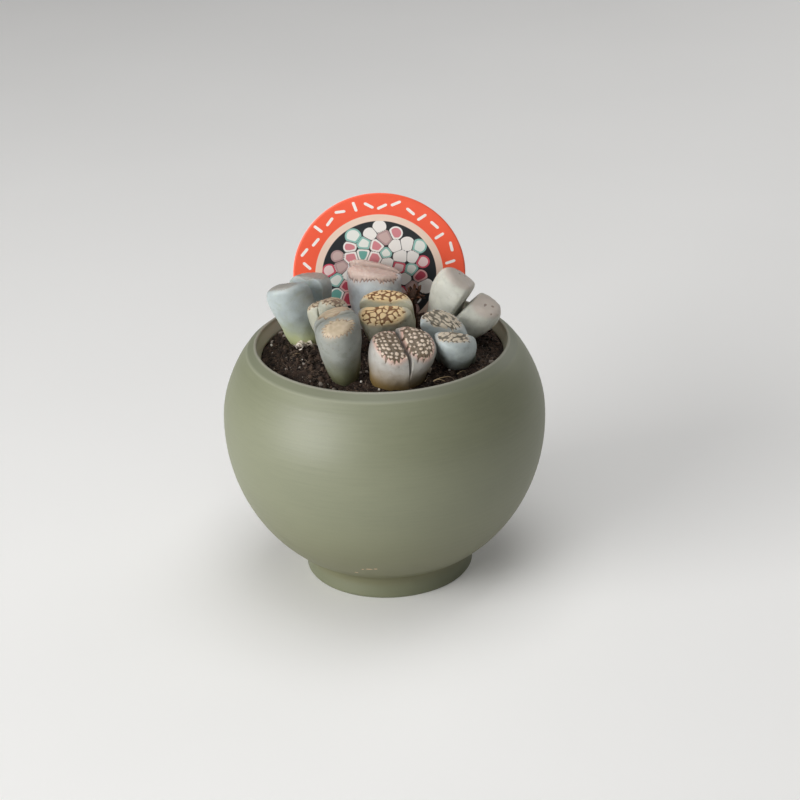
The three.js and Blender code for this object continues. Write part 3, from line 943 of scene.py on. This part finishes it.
class LITHOPS_OT_heads(bpy.types.Operator):
    """Grows the eight lithops heads, each two leaves in one skin"""

    bl_idname = "lithops.heads"
    bl_label = "Lithops heads"

    def execute(self, context):
        settings = context.scene.lithops_heads
        for number, (name, head) in enumerate(HEADS.items()):
            piece = self.union(name, head, settings)
            self.mark(piece.data, head, 100 * (number + 1), settings)
            dress(piece, leaf_skin(name + " skin", head.palette), head.slot, name)
        return {"FINISHED"}

    def union(self, name, head, settings):
        """Both leaves joined into one closed skin, in the head's own frame."""
        leaves = []
        for side in head.leaves:
            grid, poles = leaf_points(
                head, side, settings.around, settings.flank, settings.dome)
            leaves.append(surface(name + "_leaf", grid, poles, flip=side < 0))
        join = leaves[0].modifiers.new("join", "BOOLEAN")
        join.operation = "UNION"
        join.solver = "MANIFOLD"
        join.object = leaves[1]
        graph = bpy.context.evaluated_depsgraph_get()
        mesh = bpy.data.meshes.new_from_object(leaves[0].evaluated_get(graph))
        for leaf in leaves:
            bpy.data.objects.remove(leaf)
        if not len(mesh.polygons):
            raise RuntimeError(name + ": the two leaves did not join")
        mesh.materials.clear()
        return link(name + "_skin", mesh)

    def mark(self, mesh, head, seed, settings):
        """The dark markings are sunk and the islands and the window's lip raised along the
        normals, with a slight swelling, and the fields are kept for the material. Then the
        head goes to its place."""
        points, normals = vertex_array(mesh), vertex_array(mesh, "normal", 1)
        fields = {name: np.zeros(len(points)) for name in (*FIELDS, *TRAITS, "relief")}
        for side, pattern in head.patterns.items():
            here = points[:, 1] * side >= 0
            marks = leaf_marks(head, side, points[here], seed + 10 * side)
            for name, values in zip(FIELDS, marks):
                fields[name][here] = np.clip(values, -3, 3)
            for name in (*TRAITS, "relief"):
                fields[name][here] = getattr(KINDS[pattern.kind], name)
        dark = smoothstep(-0.25, 0.2, fields["dark"])
        light = smoothstep(-0.25, 0.25, fields["light"])
        lip = np.exp(-((fields["window"] + 0.5) / 0.5) ** 2) * 0.4
        swell = settings.unevenness * waves(points, 11.0, seed + 50, 3)
        raised = dark * (1.5 * light - 1.0) + lip
        shift = settings.relief * fields.pop("relief") * raised + swell
        shoulder = sum(leaf.shoulder for leaf in head.leaves.values()) / 2
        store(mesh, height=points[:, 2] / shoulder, **fields)
        place, matrix = head_frame(head)
        points = (points + normals * shift[:, None]) @ matrix.T + place
        mesh.vertices.foreach_set("co", (points * MM).astype(np.float32).ravel())
        mesh.update()
        mesh.polygons.foreach_set("use_smooth", np.ones(len(mesh.polygons), bool))
        mesh.set_sharp_from_angle(angle=math.radians(SMOOTH_ANGLE))


# Soil

class SoilSettings(bpy.types.PropertyGroup):
    """Sizes, counts and colour of the soil and what lies on it."""

    level: in_mm("Level at the wall", "Height at the pot's wall", 86.3)
    mound: in_mm("Mound", "Rise in the middle", 3.7)
    mound_power: amount("Mound power", "How flat the mound is in the middle", 6.0)
    crumbs: whole("Crumbs", "Loose crumbs on top", 1500)
    grains: whole("Perlite", "White grains", 46)
    fibres: whole("Fibres", "Thin root fibres", 260)
    # The darkest peat colour, left in the hollows between lumps, partly as painted shade
    soil: paint("Soil", "Colour of the hollows", "#261C16")


# Points round the soil, rings of its top and of its side, the gap to the pot's wall, the
# size, height and seed of its lumps, and the half sizes of the strip that the label takes
SOIL_SIDES = 540
SOIL_RINGS = 132
SOIL_SIDE_RINGS = 8
SOIL_GAP = 0.3
SOIL_LUMPS = ((3.4, 0.75, 1), (1.7, 0.6, 2), (0.9, 0.34, 3))
LABEL_SLOT = (0.6, 29)


def soil_height(x, y, soil, edge):
    """Height of the soil: a mound that is flat in the middle and steepest at the wall,
    lumps of three sizes and fine unevenness. Also a tone that is highest on the lumps' tops,
    so that the hollows between them keep the darker colour, partly as painted shade."""
    flat = np.stack([x, y], -1)
    mound = soil.level + soil.mound * (1 - (np.hypot(x, y) / edge) ** soil.mound_power)
    lumps, tone = np.zeros(x.shape), np.zeros(x.shape)
    for size, height, seed in SOIL_LUMPS:
        bent = flat + 0.3 * size * np.stack(
            [waves(flat, size * 2, seed + 20, 1), waves(flat, size * 2, seed + 30, 1)], -1)
        first, second, pick = cells(bent[..., 0], bent[..., 1], size, seed)
        lump = np.clip(1 - (first / size * 1.25) ** 2, 0, 1) * (0.25 + pick)
        lumps = lumps + height * (lump - 0.45)
        # The tone rises on the lumps' tops, so the hollows keep the darker colour, partly as
        # painted shade
        tone = tone + lump * pick / 2
    return mound + lumps + 0.3 * waves(flat, 9.0, 5, 2), tone


def lump(radius, stretch, draw, rows=5, columns=8):
    """A crumb: a sphere whose radius is uneven by a few random waves, then stretched."""
    polar = ((np.arange(rows) + 0.5) / rows * math.pi)[:, None]
    angle = np.arange(columns) / columns * TURN
    direction = xyz(np.sin(polar) * np.cos(angle), np.sin(polar) * np.sin(angle),
                    -np.cos(polar))
    ends = np.array([(0, 0, -1.0), (0, 0, 1.0)])
    seed = int(draw.integers(1 << 30))
    grid = direction * (1 + 0.28 * waves(direction, 1.7, seed, 2, 5))[..., None]
    points = np.concatenate([grid.reshape(-1, 3), ends]) * radius * stretch
    return points, *grid_faces(rows, columns)


def random_turn(draw):
    """A random rotation matrix."""
    matrix, _ = np.linalg.qr(draw.normal(size=(3, 3)))
    return matrix * np.sign(np.linalg.det(matrix))


def clear_of_heads(x, y, margin):
    """Whether a point of the soil lies outside every head's foot."""
    for head in HEADS.values():
        place, matrix = head_frame(head)
        here = (np.array([x, y, SOIL_LEVEL]) - place) @ matrix
        near = head.leaves[1 if here[1] > 0 else -1]
        width = 0.5 + 0.5 * near.foot
        if math.hypot(here[0] / (near.length * width + margin),
                      here[1] / (near.depth * width + margin)) < 1:
            return False
    half_depth, half_width = LABEL_SLOT
    return not (abs(y - LABEL_LOW[1]) < margin + half_depth and abs(x) < half_width)


def scattered(count, reach, margin, draw):
    """Random places on the soil, clear of the heads and the label."""
    places = []
    while len(places) < count:
        radius = reach * math.sqrt(draw.uniform())
        angle = draw.uniform(0, TURN)
        x, y = radius * math.cos(angle), radius * math.sin(angle)
        if clear_of_heads(x, y, margin):
            places.append((x, y))
    return np.array(places)


def path_axes(path, normal):
    """The direction of a path at each point, the direction to its side, square to the
    normal, and the direction square to both."""
    forward = np.gradient(path, axis=0)
    forward /= np.linalg.norm(forward, axis=1, keepdims=True)
    side = np.cross(forward, normal)
    side /= np.linalg.norm(side, axis=1, keepdims=True)
    return forward, side, np.cross(side, forward)


def closed_tube(rings, start, end):
    """Rings along a path with a point at both ends, as points, quads and triangles."""
    quads, fans = grid_faces(*rings.shape[:2])
    return np.concatenate([rings.reshape(-1, 3), [start, end]]), quads[:, ::-1], fans[:, ::-1]


def strand(path, radius, sides):
    """A tube along a path: rings of the given radii square to the path, with a steady side
    direction."""
    forward, side, up = path_axes(path, (0.3, 0.2, 1.0))
    angle = np.arange(sides) / sides * TURN
    ring = np.cos(angle)[:, None] * side[:, None] + np.sin(angle)[:, None] * up[:, None]
    radii = np.broadcast_to(np.asarray(radius, float), len(path))
    return closed_tube(path[:, None] + ring * radii[:, None, None],
                       path[0] - forward[0] * radii[0], path[-1] + forward[-1] * radii[-1])


class LITHOPS_OT_soil(bpy.types.Operator):
    """Fills the pot with soil and scatters crumbs, perlite and fibres on it"""

    bl_idname = "lithops.soil"
    bl_label = "Soil"

    def execute(self, context):
        scene = context.scene
        soil, pot = scene.lithops_soil, scene.lithops_pot
        self.edge = pot.neck - SOIL_GAP
        self.ground = lambda x, y: soil_height(x, y, soil, self.edge)[0]
        self.bed(soil, pot)
        self.crumbs(soil)
        self.perlite(soil)
        self.fibres(soil)
        return {"FINISHED"}

    def bed(self, soil, pot):
        """A closed block: the lumpy top, a side that follows the pot's inner wall and a
        flat bottom."""
        angle = np.arange(SOIL_SIDES) / SOIL_SIDES * TURN
        bottom = pot.floor + SOIL_GAP
        heights = np.linspace(bottom, pot.neck_start, SOIL_SIDE_RINGS)[:, None]
        radii = wall_radius(heights, pot, pot.wall + SOIL_GAP)
        side = xyz(radii * np.cos(angle), radii * np.sin(angle), heights)
        radius = self.edge * (1 - np.arange(SOIL_RINGS) / SOIL_RINGS)[:, None]
        x, y = radius * np.cos(angle), radius * np.sin(angle)
        top, tone = soil_height(x, y, soil, self.edge)
        grid = np.concatenate([side, xyz(x, y, top)])
        centre = float(self.ground(np.zeros(1), np.zeros(1))[0])
        piece = surface("soil_bed", grid, [(0, 0, bottom), (0, 0, centre)])
        tone = np.concatenate([np.zeros(side[..., 0].size), tone.ravel(), [0, 0]])
        store(piece.data, tone=tone)
        dress(piece, soil_finish(soil), "soil", "soil")

    def crumbs(self, soil):
        """Loose crumbs, most of them small, each turned at random and partly sunk."""
        draw = np.random.default_rng(11)
        shapes, tones = [], []
        for x, y in scattered(soil.crumbs, self.edge - 1.2, 0.8, draw):
            size = 0.3 + 0.9 * draw.uniform() ** 2.5
            stretch = (1.0, draw.uniform(0.6, 1), draw.uniform(0.4, 0.8))
            shapes.append(self.loose(x, y, size, stretch, 0.2, draw))
            tones.append(draw.uniform())
        joined_piece("soil_crumbs", shapes, tones, crumb_finish(), "soil")

    def perlite(self, soil):
        """White grains, most of them small, a third of each sunk in the soil."""
        draw = np.random.default_rng(12)
        shapes = []
        for x, y in scattered(soil.grains, self.edge - 1.5, 0.9, draw):
            size = 0.22 + 0.42 * draw.uniform() ** 2
            shapes.append(self.loose(x, y, size, (1.0, 0.8, 0.8), 0.35, draw))
        joined_piece("perlite_grains", shapes, None, perlite_finish(), "soil")

    def loose(self, x, y, size, stretch, lift, draw):
        """A lump turned at random, whose middle lies above the soil by a share of its
        size."""
        points, quads, fans = lump(size, stretch, draw)
        height = self.ground(np.array([x]), np.array([y]))[0] + size * lift
        return points @ random_turn(draw).T + (x, y, height), quads, fans

    def fibres(self, soil):
        """Thin root fibres: arcs that lie on the soil and lift a little in the middle."""
        draw = np.random.default_rng(13)
        shapes, tones = [], []
        for x, y in scattered(soil.fibres, self.edge - 4, 1.6, draw):
            step = draw.uniform(1.5, 5.5) / 7
            share = np.linspace(0, 1, 8)
            heading = draw.uniform(0, TURN) + draw.uniform(-1.2, 1.2) * (share - 0.5)
            along = x + np.cumsum(np.cos(heading)) * step
            across = y + np.cumsum(np.sin(heading)) * step
            lift = draw.uniform(0.1, 0.7) * np.sin(share * math.pi)
            if (np.hypot(along, across) < self.edge - 1).all():
                height = self.ground(along, across) + 0.1 + lift
                radius = draw.uniform(0.05, 0.12) * (1 - 0.6 * share)
                shapes.append(strand(xyz(along, across, height), radius, 4))
                tones.append(draw.uniform())
        finish = dry_finish("fibres", "#3F2F25", "#9E8A78")
        joined_piece("soil_fibres", shapes, tones, finish, "soil")


# Label

class LabelSettings(bpy.types.PropertyGroup):
    """Sizes and colours of the plant label."""

    radius: in_mm("Radius", "Radius of the card", float(LABEL_HIGH[0] - LABEL_LOW[0]) / 2)
    disc_radius: in_mm("Disc radius", "Radius of the dark disc", 21.5)
    band_width: in_mm("Band", "Width of the cream ring", 2.6)
    stake_width: in_mm("Stake", "Width of the stake", 12.0)
    stake_shoulder: in_mm("Stake shoulder", "Height where the point starts", 50.0)
    dots: whole("Dots", "Dots on the dark disc", 54)
    strokes: whole("Strokes", "White strokes on the ring", 34)
    ring: paint("Ring", "Colour of the outer ring", "#FC6142")


# Points round the card, and its rings on the front and on the back
LABEL_SIDES = 360
LABEL_RINGS = 96
LABEL_BACK_RINGS = 14
# The card's rounded edge: how far its rings stand out past the inset, and how deep they
# lie as shares of the thickness
EDGE_INSET = 0.3
EDGE_STEPS = np.array([(0.0, 0.12), (0.18, 0.3), (0.3, 0.5), (0.18, 0.7), (0.0, 0.88)])
# Half sizes of a stroke, the least radius of a dot and what chance adds to it, how far
# inside the disc the outermost middles stay, and half the gap between two dots
STROKE_HALF_LENGTH, STROKE_HALF_WIDTH = 1.5, 0.55
DOT_RADIUS, DOT_SPREAD, DOT_INSET, DOT_GAP = 2.4, 0.7, 2.2, 0.12
GOLDEN_ANGLE = math.pi * (3 - math.sqrt(5))


class LITHOPS_OT_label(bpy.types.Operator):
    """Cuts the round label with its stake and prints rings and dots on its front"""

    bl_idname = "lithops.label"
    bl_label = "Plant label"

    def execute(self, context):
        """Rings of one outline shrink to a point on the front and on the back. The outline
        is a circle, and below it the edges and the point of the stake."""
        label = context.scene.lithops_label
        centre_height = LABEL_HIGH[2] - label.radius
        thickness = LABEL_HIGH[1] - LABEL_LOW[1]
        angle = np.arange(LABEL_SIDES) / LABEL_SIDES * TURN - math.pi / 2
        edge = self.outline(angle, label, centre_height) - EDGE_INSET
        front = np.linspace(0, 1, LABEL_RINGS + 1)[1:-1, None]
        back = np.linspace(1, 0, LABEL_BACK_RINGS + 1)[1:-1, None]
        out, depth = EDGE_STEPS.T
        radii = np.concatenate([front * edge, edge + out[:, None], back * edge])
        share = np.concatenate([np.zeros(len(front)), depth, np.ones(len(back))])
        x = radii * np.cos(angle)
        z = radii * np.sin(angle) + centre_height
        y = LABEL_LOW[1] + (share * thickness)[:, None]
        poles = [(0, LABEL_LOW[1], centre_height), (0, LABEL_HIGH[1], centre_height)]
        piece = surface("plant_label", xyz(x, y, z), poles)
        self.print_front(piece.data, label, centre_height)
        dress(piece, label_print(label), "label_plastic", "label")
        return {"FINISHED"}

    def outline(self, angle, label, centre_height):
        """Distance from the centre to the edge: the circle, or further down the stake."""
        half = label.stake_width / 2
        shoulder = centre_height - label.stake_shoulder
        tip = centre_height - LABEL_LOW[2]
        off = np.abs((angle + 1.5 * math.pi) % TURN - math.pi)
        side = half / np.maximum(np.sin(off), 1e-4)
        point = tip * half / (half * np.cos(off) + (tip - shoulder) * np.sin(off))
        inside = off < math.pi / 2
        return np.where(inside, np.maximum(label.radius, np.minimum(side, point)), label.radius)

    def print_front(self, mesh, label, centre_height):
        """Distance from the centre, and how far inside the nearest dot and the nearest
        stroke. The dots follow a sunflower spiral. The strokes are short bars with round
        ends, scattered over the ring at even angles."""
        x, y, z = vertex_array(mesh).T
        z = z - centre_height
        draw = np.random.default_rng(21)
        inside, other, stroke = (np.full(len(x), -9.0) for _ in range(3))
        hue = np.zeros(len(x))
        shades = draw.uniform(size=label.dots)
        for number in range(label.dots):
            radius = (label.disc_radius - DOT_INSET) * math.sqrt((number + 0.6) / label.dots)
            angle = number * GOLDEN_ANGLE
            size = DOT_RADIUS + DOT_SPREAD * shades[(number * 7) % label.dots]
            depth = size - np.hypot(x - radius * math.cos(angle), z - radius * math.sin(angle))
            nearer = depth > inside
            other = np.where(nearer, inside, np.maximum(other, depth))
            hue = np.where(nearer, shades[number], hue)
            inside = np.where(nearer, depth, inside)
        inside = np.minimum(inside, (inside - other) / 2 - DOT_GAP)
        edge = label.disc_radius + label.band_width
        for number in range(label.strokes):
            angle = (number + draw.uniform(-0.2, 0.2)) / label.strokes * TURN
            radius = edge + (label.radius - edge) * draw.uniform(0.36, 0.64)
            lean = draw.uniform(0, math.pi)
            off_x, off_z = x - radius * math.cos(angle), z - radius * math.sin(angle)
            along = off_x * math.cos(lean) + off_z * math.sin(lean)
            across = off_z * math.cos(lean) - off_x * math.sin(lean)
            beyond = np.clip(np.abs(along) - STROKE_HALF_LENGTH, 0, None)
            stroke = np.maximum(stroke, STROKE_HALF_WIDTH - np.hypot(beyond, across))
        middle = (LABEL_LOW[1] + LABEL_HIGH[1]) / 2
        store(mesh, radius=np.hypot(x, z), stroke=np.clip(stroke, -3, 3),
              dot=np.clip(inside, -3, 3), hue=hue, back=y > middle)


# Dried flower and leaf skins

class FlowerSettings(bpy.types.PropertyGroup):
    """Count and sizes of the withered flower's petals and stalk."""

    petals: whole("Petals", "Withered petals", 20)
    petal_length: in_mm("Petal length", "Length of a petal", 4.6)
    stalk_radius: in_mm("Stalk radius", "Radius of the stalk", 0.8)


def crinkled_strip(path, widths, normal, thickness, seed, around=10):
    """A thin strip along a path: each ring is a flat ellipse of the given width, cupped
    and crinkled by small waves, and the ends close on a point."""
    forward, side, face = path_axes(path, normal)
    angle = np.arange(around) / around * TURN
    across = np.cos(angle)[None, :] * np.asarray(widths)[:, None]
    cup = 0.35 * np.abs(across) ** 1.5 / (np.max(widths) ** 0.5 + 1e-6)
    spot = path[:, None] + side[:, None] * across[..., None]
    crinkle = 0.22 * waves(spot, 1.9, seed, 2, 6)
    lift = np.sin(angle)[None, :] * thickness / 2 + cup + crinkle
    rings = spot + face[:, None] * lift[..., None]
    return closed_tube(rings, rings[0].mean(0) - forward[0] * thickness,
                       rings[-1].mean(0) + forward[-1] * thickness)


# Where the flower's foot stands, and how far below its top its cup starts
FLOWER_PLACE = (12.6, 13.4)
FLOWER_CUP = 7.5
# Skins round a head's foot: from and to what heading in degrees, how many and how tall
SKINS = (
    ("lithops_back_left", -122, -66, 5, 4.2),
    ("lithops_front", 12, 40, 2, 3.4),
    ("lithops_centre", -30, 40, 2, 3.0),
)
# Middle, heading and size of the scraps; middle and radius of the curl
SCRAPS = (
    (-29.2, -1.2, 20, 3.6, 0.8), (-27.0, -0.9, -28, 3.0, 0.7), (-30.4, -1.4, -65, 2.4, 0.6),
)
CURL = (-30.3, -3.4, 1.2)
# Place, heading, length and radius of each straw
STRAWS = (
    (17.0, -35.5, 28, 7, 0.22), (18.0, -33.5, -30, 4, 0.12), (14.5, -35.5, 60, 3.5, 0.12),
    (26.0, -30.0, 40, 4, 0.12), (-33.0, -8.0, 15, 3, 0.1),
)


class LITHOPS_OT_dried(bpy.types.Operator):
    """Makes the withered flower, the papery leaf skins and the pale straws"""

    bl_idname = "lithops.dried"
    bl_label = "Dried flower and skins"

    def execute(self, context):
        flower = context.scene.lithops_flower
        self.flower(flower)
        self.skins()
        self.straws()
        return {"FINISHED"}

    def flower(self, flower):
        """A thin stalk with a wrinkled cup, and strap petals that curl out of the cup and
        hang or stand at random."""
        draw = np.random.default_rng(31)
        foot = np.array([*FLOWER_PLACE, FLOWER_LOW[2]])
        top = FLOWER_HIGH[2]
        cup_base = top - FLOWER_CUP
        share = np.linspace(0, 1, 14)
        heights = foot[2] + share * (cup_base - foot[2])
        wander = 0.25 * np.sin(share * 5)[:, None] * (1, 0.6)
        stalk = np.concatenate([foot[:2] + wander, heights[:, None]], 1)
        share_up = np.linspace(0, 1, 12)
        cup = np.linspace((*FLOWER_PLACE, cup_base - 0.6), (*FLOWER_PLACE, cup_base + 4), 12)
        shapes = [
            strand(stalk, flower.stalk_radius * (1 + 0.25 * np.sin(share * 17)), 10),
            strand(cup, 0.7 + 1.7 * np.sin(share_up * 2.5) ** 1.2, 16),
        ]
        tones = [0.35, 0.2]
        for number in range(flower.petals):
            heading = number * GOLDEN_ANGLE + draw.uniform(-0.2, 0.2)
            rise = draw.uniform(-0.3, 1.25)
            length = flower.petal_length * draw.uniform(0.65, 1.0)
            pitch = rise + draw.uniform(-1.1, 0.8) * share_up
            level = 1.2 + np.cumsum(np.cos(pitch)) * length / 12 * 0.8
            climb = np.cumsum(np.sin(pitch)) * length / 12
            east, north = math.cos(heading), math.sin(heading)
            path = xyz(foot[0] + level * east, foot[1] + level * north,
                       np.clip(cup_base + 2.2 + climb, cup_base - 2.5, top - 0.3))
            widths = draw.uniform(0.5, 0.95) * np.sin(0.25 + share_up * 2.6) ** 0.7 + 0.05
            normal = np.cross((-north, east, 0), (east, north, 0.01))
            shapes.append(crinkled_strip(path, widths, normal, 0.16, 400 + number))
            tones.append(draw.uniform(0, 1) ** 2)
        finish = dry_finish("withered flower", "#1E1511", "#70482C")
        joined_piece("withered_flower", shapes, tones, finish, "dried_leaf", "dried_flower")

    def skins(self):
        """Papery skins of last year's leaves, curled up round the feet of some heads, with
        arched scraps and one pale curl beside the back left head."""
        draw = np.random.default_rng(32)
        shapes, tones = [], []
        for name, start, end, count, tall in SKINS:
            head = HEADS[name]
            for number in range(count):
                heading = math.radians(start + (end - start) * (number + 0.5) / count)
                shapes.append(self.skin(head, heading, tall * draw.uniform(0.7, 1.2), draw))
                tones.append(draw.uniform(0.35, 1.0))
        share = np.linspace(0, 1, 9)
        for x, y, heading, length, width in SCRAPS:
            along = (share - 0.5) * length
            angle = math.radians(heading)
            path = xyz(x + along * math.cos(angle), y + along * math.sin(angle),
                       SOIL_LEVEL + 1.5 + 1.2 * np.sin(share * math.pi))
            widths = width * np.sin(0.35 + share * 2.4) ** 0.8
            shapes.append(crinkled_strip(path, widths, (0.1, -0.6, 0.8), 0.14, 70 + len(shapes)))
            tones.append(draw.uniform(0.6, 1.0))
        x, y, radius = CURL
        turn = share * TURN * 0.85
        path = xyz(x + radius * np.sin(turn), y + 0.5 * share,
                   SOIL_LEVEL + 0.6 + radius - radius * np.cos(turn))
        shapes.append(strand(path, 0.28 + 0 * share, 8))
        tones.append(1.0)
        finish = dry_finish("dried skins", "#A48A6C", "#F3EADD")
        joined_piece("dried_skins", shapes, tones, finish, "dried_leaf")

    def skin(self, head, heading, tall, draw):
        """One flake: a short strip that leaves the soil beside the foot and curls away."""
        direction = np.array([math.cos(heading), math.sin(heading)])
        steps = np.linspace(0, 1, 9)
        reach = next(
            r for r in np.arange(2, 20, 0.25)
            if clear_of_heads(*(head.place + direction * r), 0.1))
        out = reach + 2.4 * steps ** 1.5 * draw.uniform(0.3, 1.2)
        rise = -0.8 + tall * (steps - 0.25 * steps ** 3)
        path = xyz(head.place[0] + direction[0] * out, head.place[1] + direction[1] * out,
                   SOIL_LEVEL + rise)
        widths = draw.uniform(1.0, 2.0) * np.sin(0.35 + steps * 2.3) ** 0.8 + 0.05
        return crinkled_strip(path, widths, (*direction, 0.2), 0.14,
                              int(draw.integers(1 << 30)), 14)

    def straws(self):
        """A few pale straws and scraps that lie on the soil."""
        draw = np.random.default_rng(33)
        shapes, tones = [], []
        for x, y, heading, length, radius in STRAWS:
            share = np.linspace(0, 1, 9)
            angle = math.radians(heading) + 0.5 * (share - 0.5) * draw.uniform(-1, 1)
            step = length / 8
            path = xyz(
                x + np.cumsum(np.cos(angle)) * step, y + np.cumsum(np.sin(angle)) * step,
                SOIL_LEVEL + 0.5 + 0.5 * np.sin(share * math.pi))
            shapes.append(strand(path, radius * (1 - 0.5 * share), 6))
            tones.append(draw.uniform(0.5, 1))
        finish = dry_finish("straw", "#6B543A", "#C4AD87")
        joined_piece("straws", shapes, tones, finish, "dried_leaf")


# Stage

class StageSettings(bpy.types.PropertyGroup):
    """Where the camera stands and how bright the studio is."""

    distance: physical(
        "Distance", "Camera's level distance from the pot's axis, in metres", 0.7506, "LENGTH")
    height: physical("Height", "Camera's height, in metres", 0.4189, "LENGTH")
    pitch: physical("Pitch", "How far the camera looks down", math.radians(25.14), "ROTATION")
    yaw: physical("Yaw", "How far the camera turns to the right", math.radians(0.452), "ROTATION")
    roll: physical("Roll", "How far the camera tips", math.radians(-1.985), "ROTATION")
    lens: physical("Lens", "Focal length on a 36 mm sensor", 100.0, "CAMERA")
    key: physical("Key light", "Power of the main soft box", 20.5, "POWER")
    top: physical("Top light", "Power of the soft box overhead", 5.2, "POWER")
    front: physical("Front light", "Power of the soft box high in front", 2.0, "POWER")
    rim: physical("Rim light", "Power of the soft box behind on the right", 1.8, "POWER")
    sky: amount("Surround", "Strength of the pale surround", 0.11)


# Place and size of each soft box in metres, and what they look at
SOFT_BOXES = (
    ("key", (-1.05, -0.75, 0.42), 1.0), ("top", (0.1, 0.15, 1.3), 0.9),
    ("front", (-0.1, -0.55, 1.1), 0.7), ("rim", (0.85, 0.85, 0.5), 0.6),
)
AIM = Vector((0, 0, 0.08))
FLOOR_HALF = 3000.0


def soft_box(name, place, size, power):
    """A square area light that looks at the plants."""
    data = bpy.data.lights.new(name, "AREA")
    data.size = size
    data.energy = power
    lamp = link(name, data)
    lamp.location = place
    lamp.rotation_euler = (AIM - Vector(place)).to_track_quat("-Z", "Y").to_euler()


class LITHOPS_OT_stage(bpy.types.Operator):
    """Sets the pale floor, the soft lights and the camera"""

    bl_idname = "lithops.stage"
    bl_label = "Stage"

    def execute(self, context):
        stage = context.scene.lithops_stage
        self.floor()
        self.lights(stage)
        self.camera(stage)
        return {"FINISHED"}

    def floor(self):
        """A wide flat sheet under the foot."""
        corners = [(x * FLOOR_HALF, y * FLOOR_HALF, 0)
                   for x, y in ((-1, -1), (1, -1), (1, 1), (-1, 1))]
        floor = make_mesh("floor", corners, np.array([[0, 1, 2, 3]]), np.zeros((0, 3), int))
        floor.data.materials.append(floor_finish())

    def lights(self, stage):
        """A large soft box low on the left, weaker ones overhead, in front and behind on the
        right, and a pale surround."""
        for name, place, size in SOFT_BOXES:
            soft_box(name, place, size, getattr(stage, name))
        world = bpy.data.worlds.new("studio")
        world.use_nodes = True
        back = world.node_tree.nodes["Background"]
        back.inputs["Color"].default_value = (1.0, 0.995, 0.985, 1.0)
        back.inputs["Strength"].default_value = stage.sky
        bpy.context.scene.world = world
        bpy.context.scene.view_settings.view_transform = "Standard"

    def camera(self, stage):
        """The camera looks along +Y, then pitches down, turns and tips."""
        data = bpy.data.cameras.new("camera")
        data.sensor_width = 36
        data.lens = stage.lens
        camera = link("camera", data)
        camera.matrix_world = (
            Matrix.Translation((0, -stage.distance, stage.height))
            @ Matrix.Rotation(-stage.yaw, 4, "Z")
            @ Matrix.Rotation(math.pi / 2 - stage.pitch, 4, "X")
            @ Matrix.Rotation(stage.roll, 4, "Z")
        )
        bpy.context.scene.camera = camera


class LITHOPS_PT_panel(bpy.types.Panel):
    """Lists the steps that build the potted lithops"""

    bl_idname = "LITHOPS_PT_panel"
    bl_label = "Potted lithops"
    bl_space_type = "VIEW_3D"
    bl_region_type = "UI"
    bl_category = "Lithops"

    def draw(self, context):
        for operator in OPERATORS:
            self.layout.operator(operator.bl_idname)


OPERATORS = (LITHOPS_OT_stage, LITHOPS_OT_pot, LITHOPS_OT_soil, LITHOPS_OT_heads,
             LITHOPS_OT_label, LITHOPS_OT_dried)
GROUPS = {
    "lithops_stage": StageSettings, "lithops_pot": PotSettings, "lithops_soil": SoilSettings,
    "lithops_heads": HeadSettings, "lithops_label": LabelSettings,
    "lithops_flower": FlowerSettings,
}


def register():
    """Registers the settings, the operators and the panel."""
    for name, group in GROUPS.items():
        bpy.utils.register_class(group)
        setattr(bpy.types.Scene, name, PointerProperty(type=group))
    for operator in OPERATORS:
        bpy.utils.register_class(operator)
    bpy.utils.register_class(LITHOPS_PT_panel)


def unregister():
    """Takes back what register made."""
    bpy.utils.unregister_class(LITHOPS_PT_panel)
    for operator in reversed(OPERATORS):
        bpy.utils.unregister_class(operator)
    for name, group in GROUPS.items():
        delattr(bpy.types.Scene, name)
        bpy.utils.unregister_class(group)


def main():
    """Builds every piece."""
    register()
    bpy.ops.lithops.stage()
    bpy.ops.lithops.pot()
    bpy.ops.lithops.soil()
    bpy.ops.lithops.heads()
    bpy.ops.lithops.label()
    bpy.ops.lithops.dried()
    bpy.context.view_layer.update()


if __name__ == "__main__":
    main()
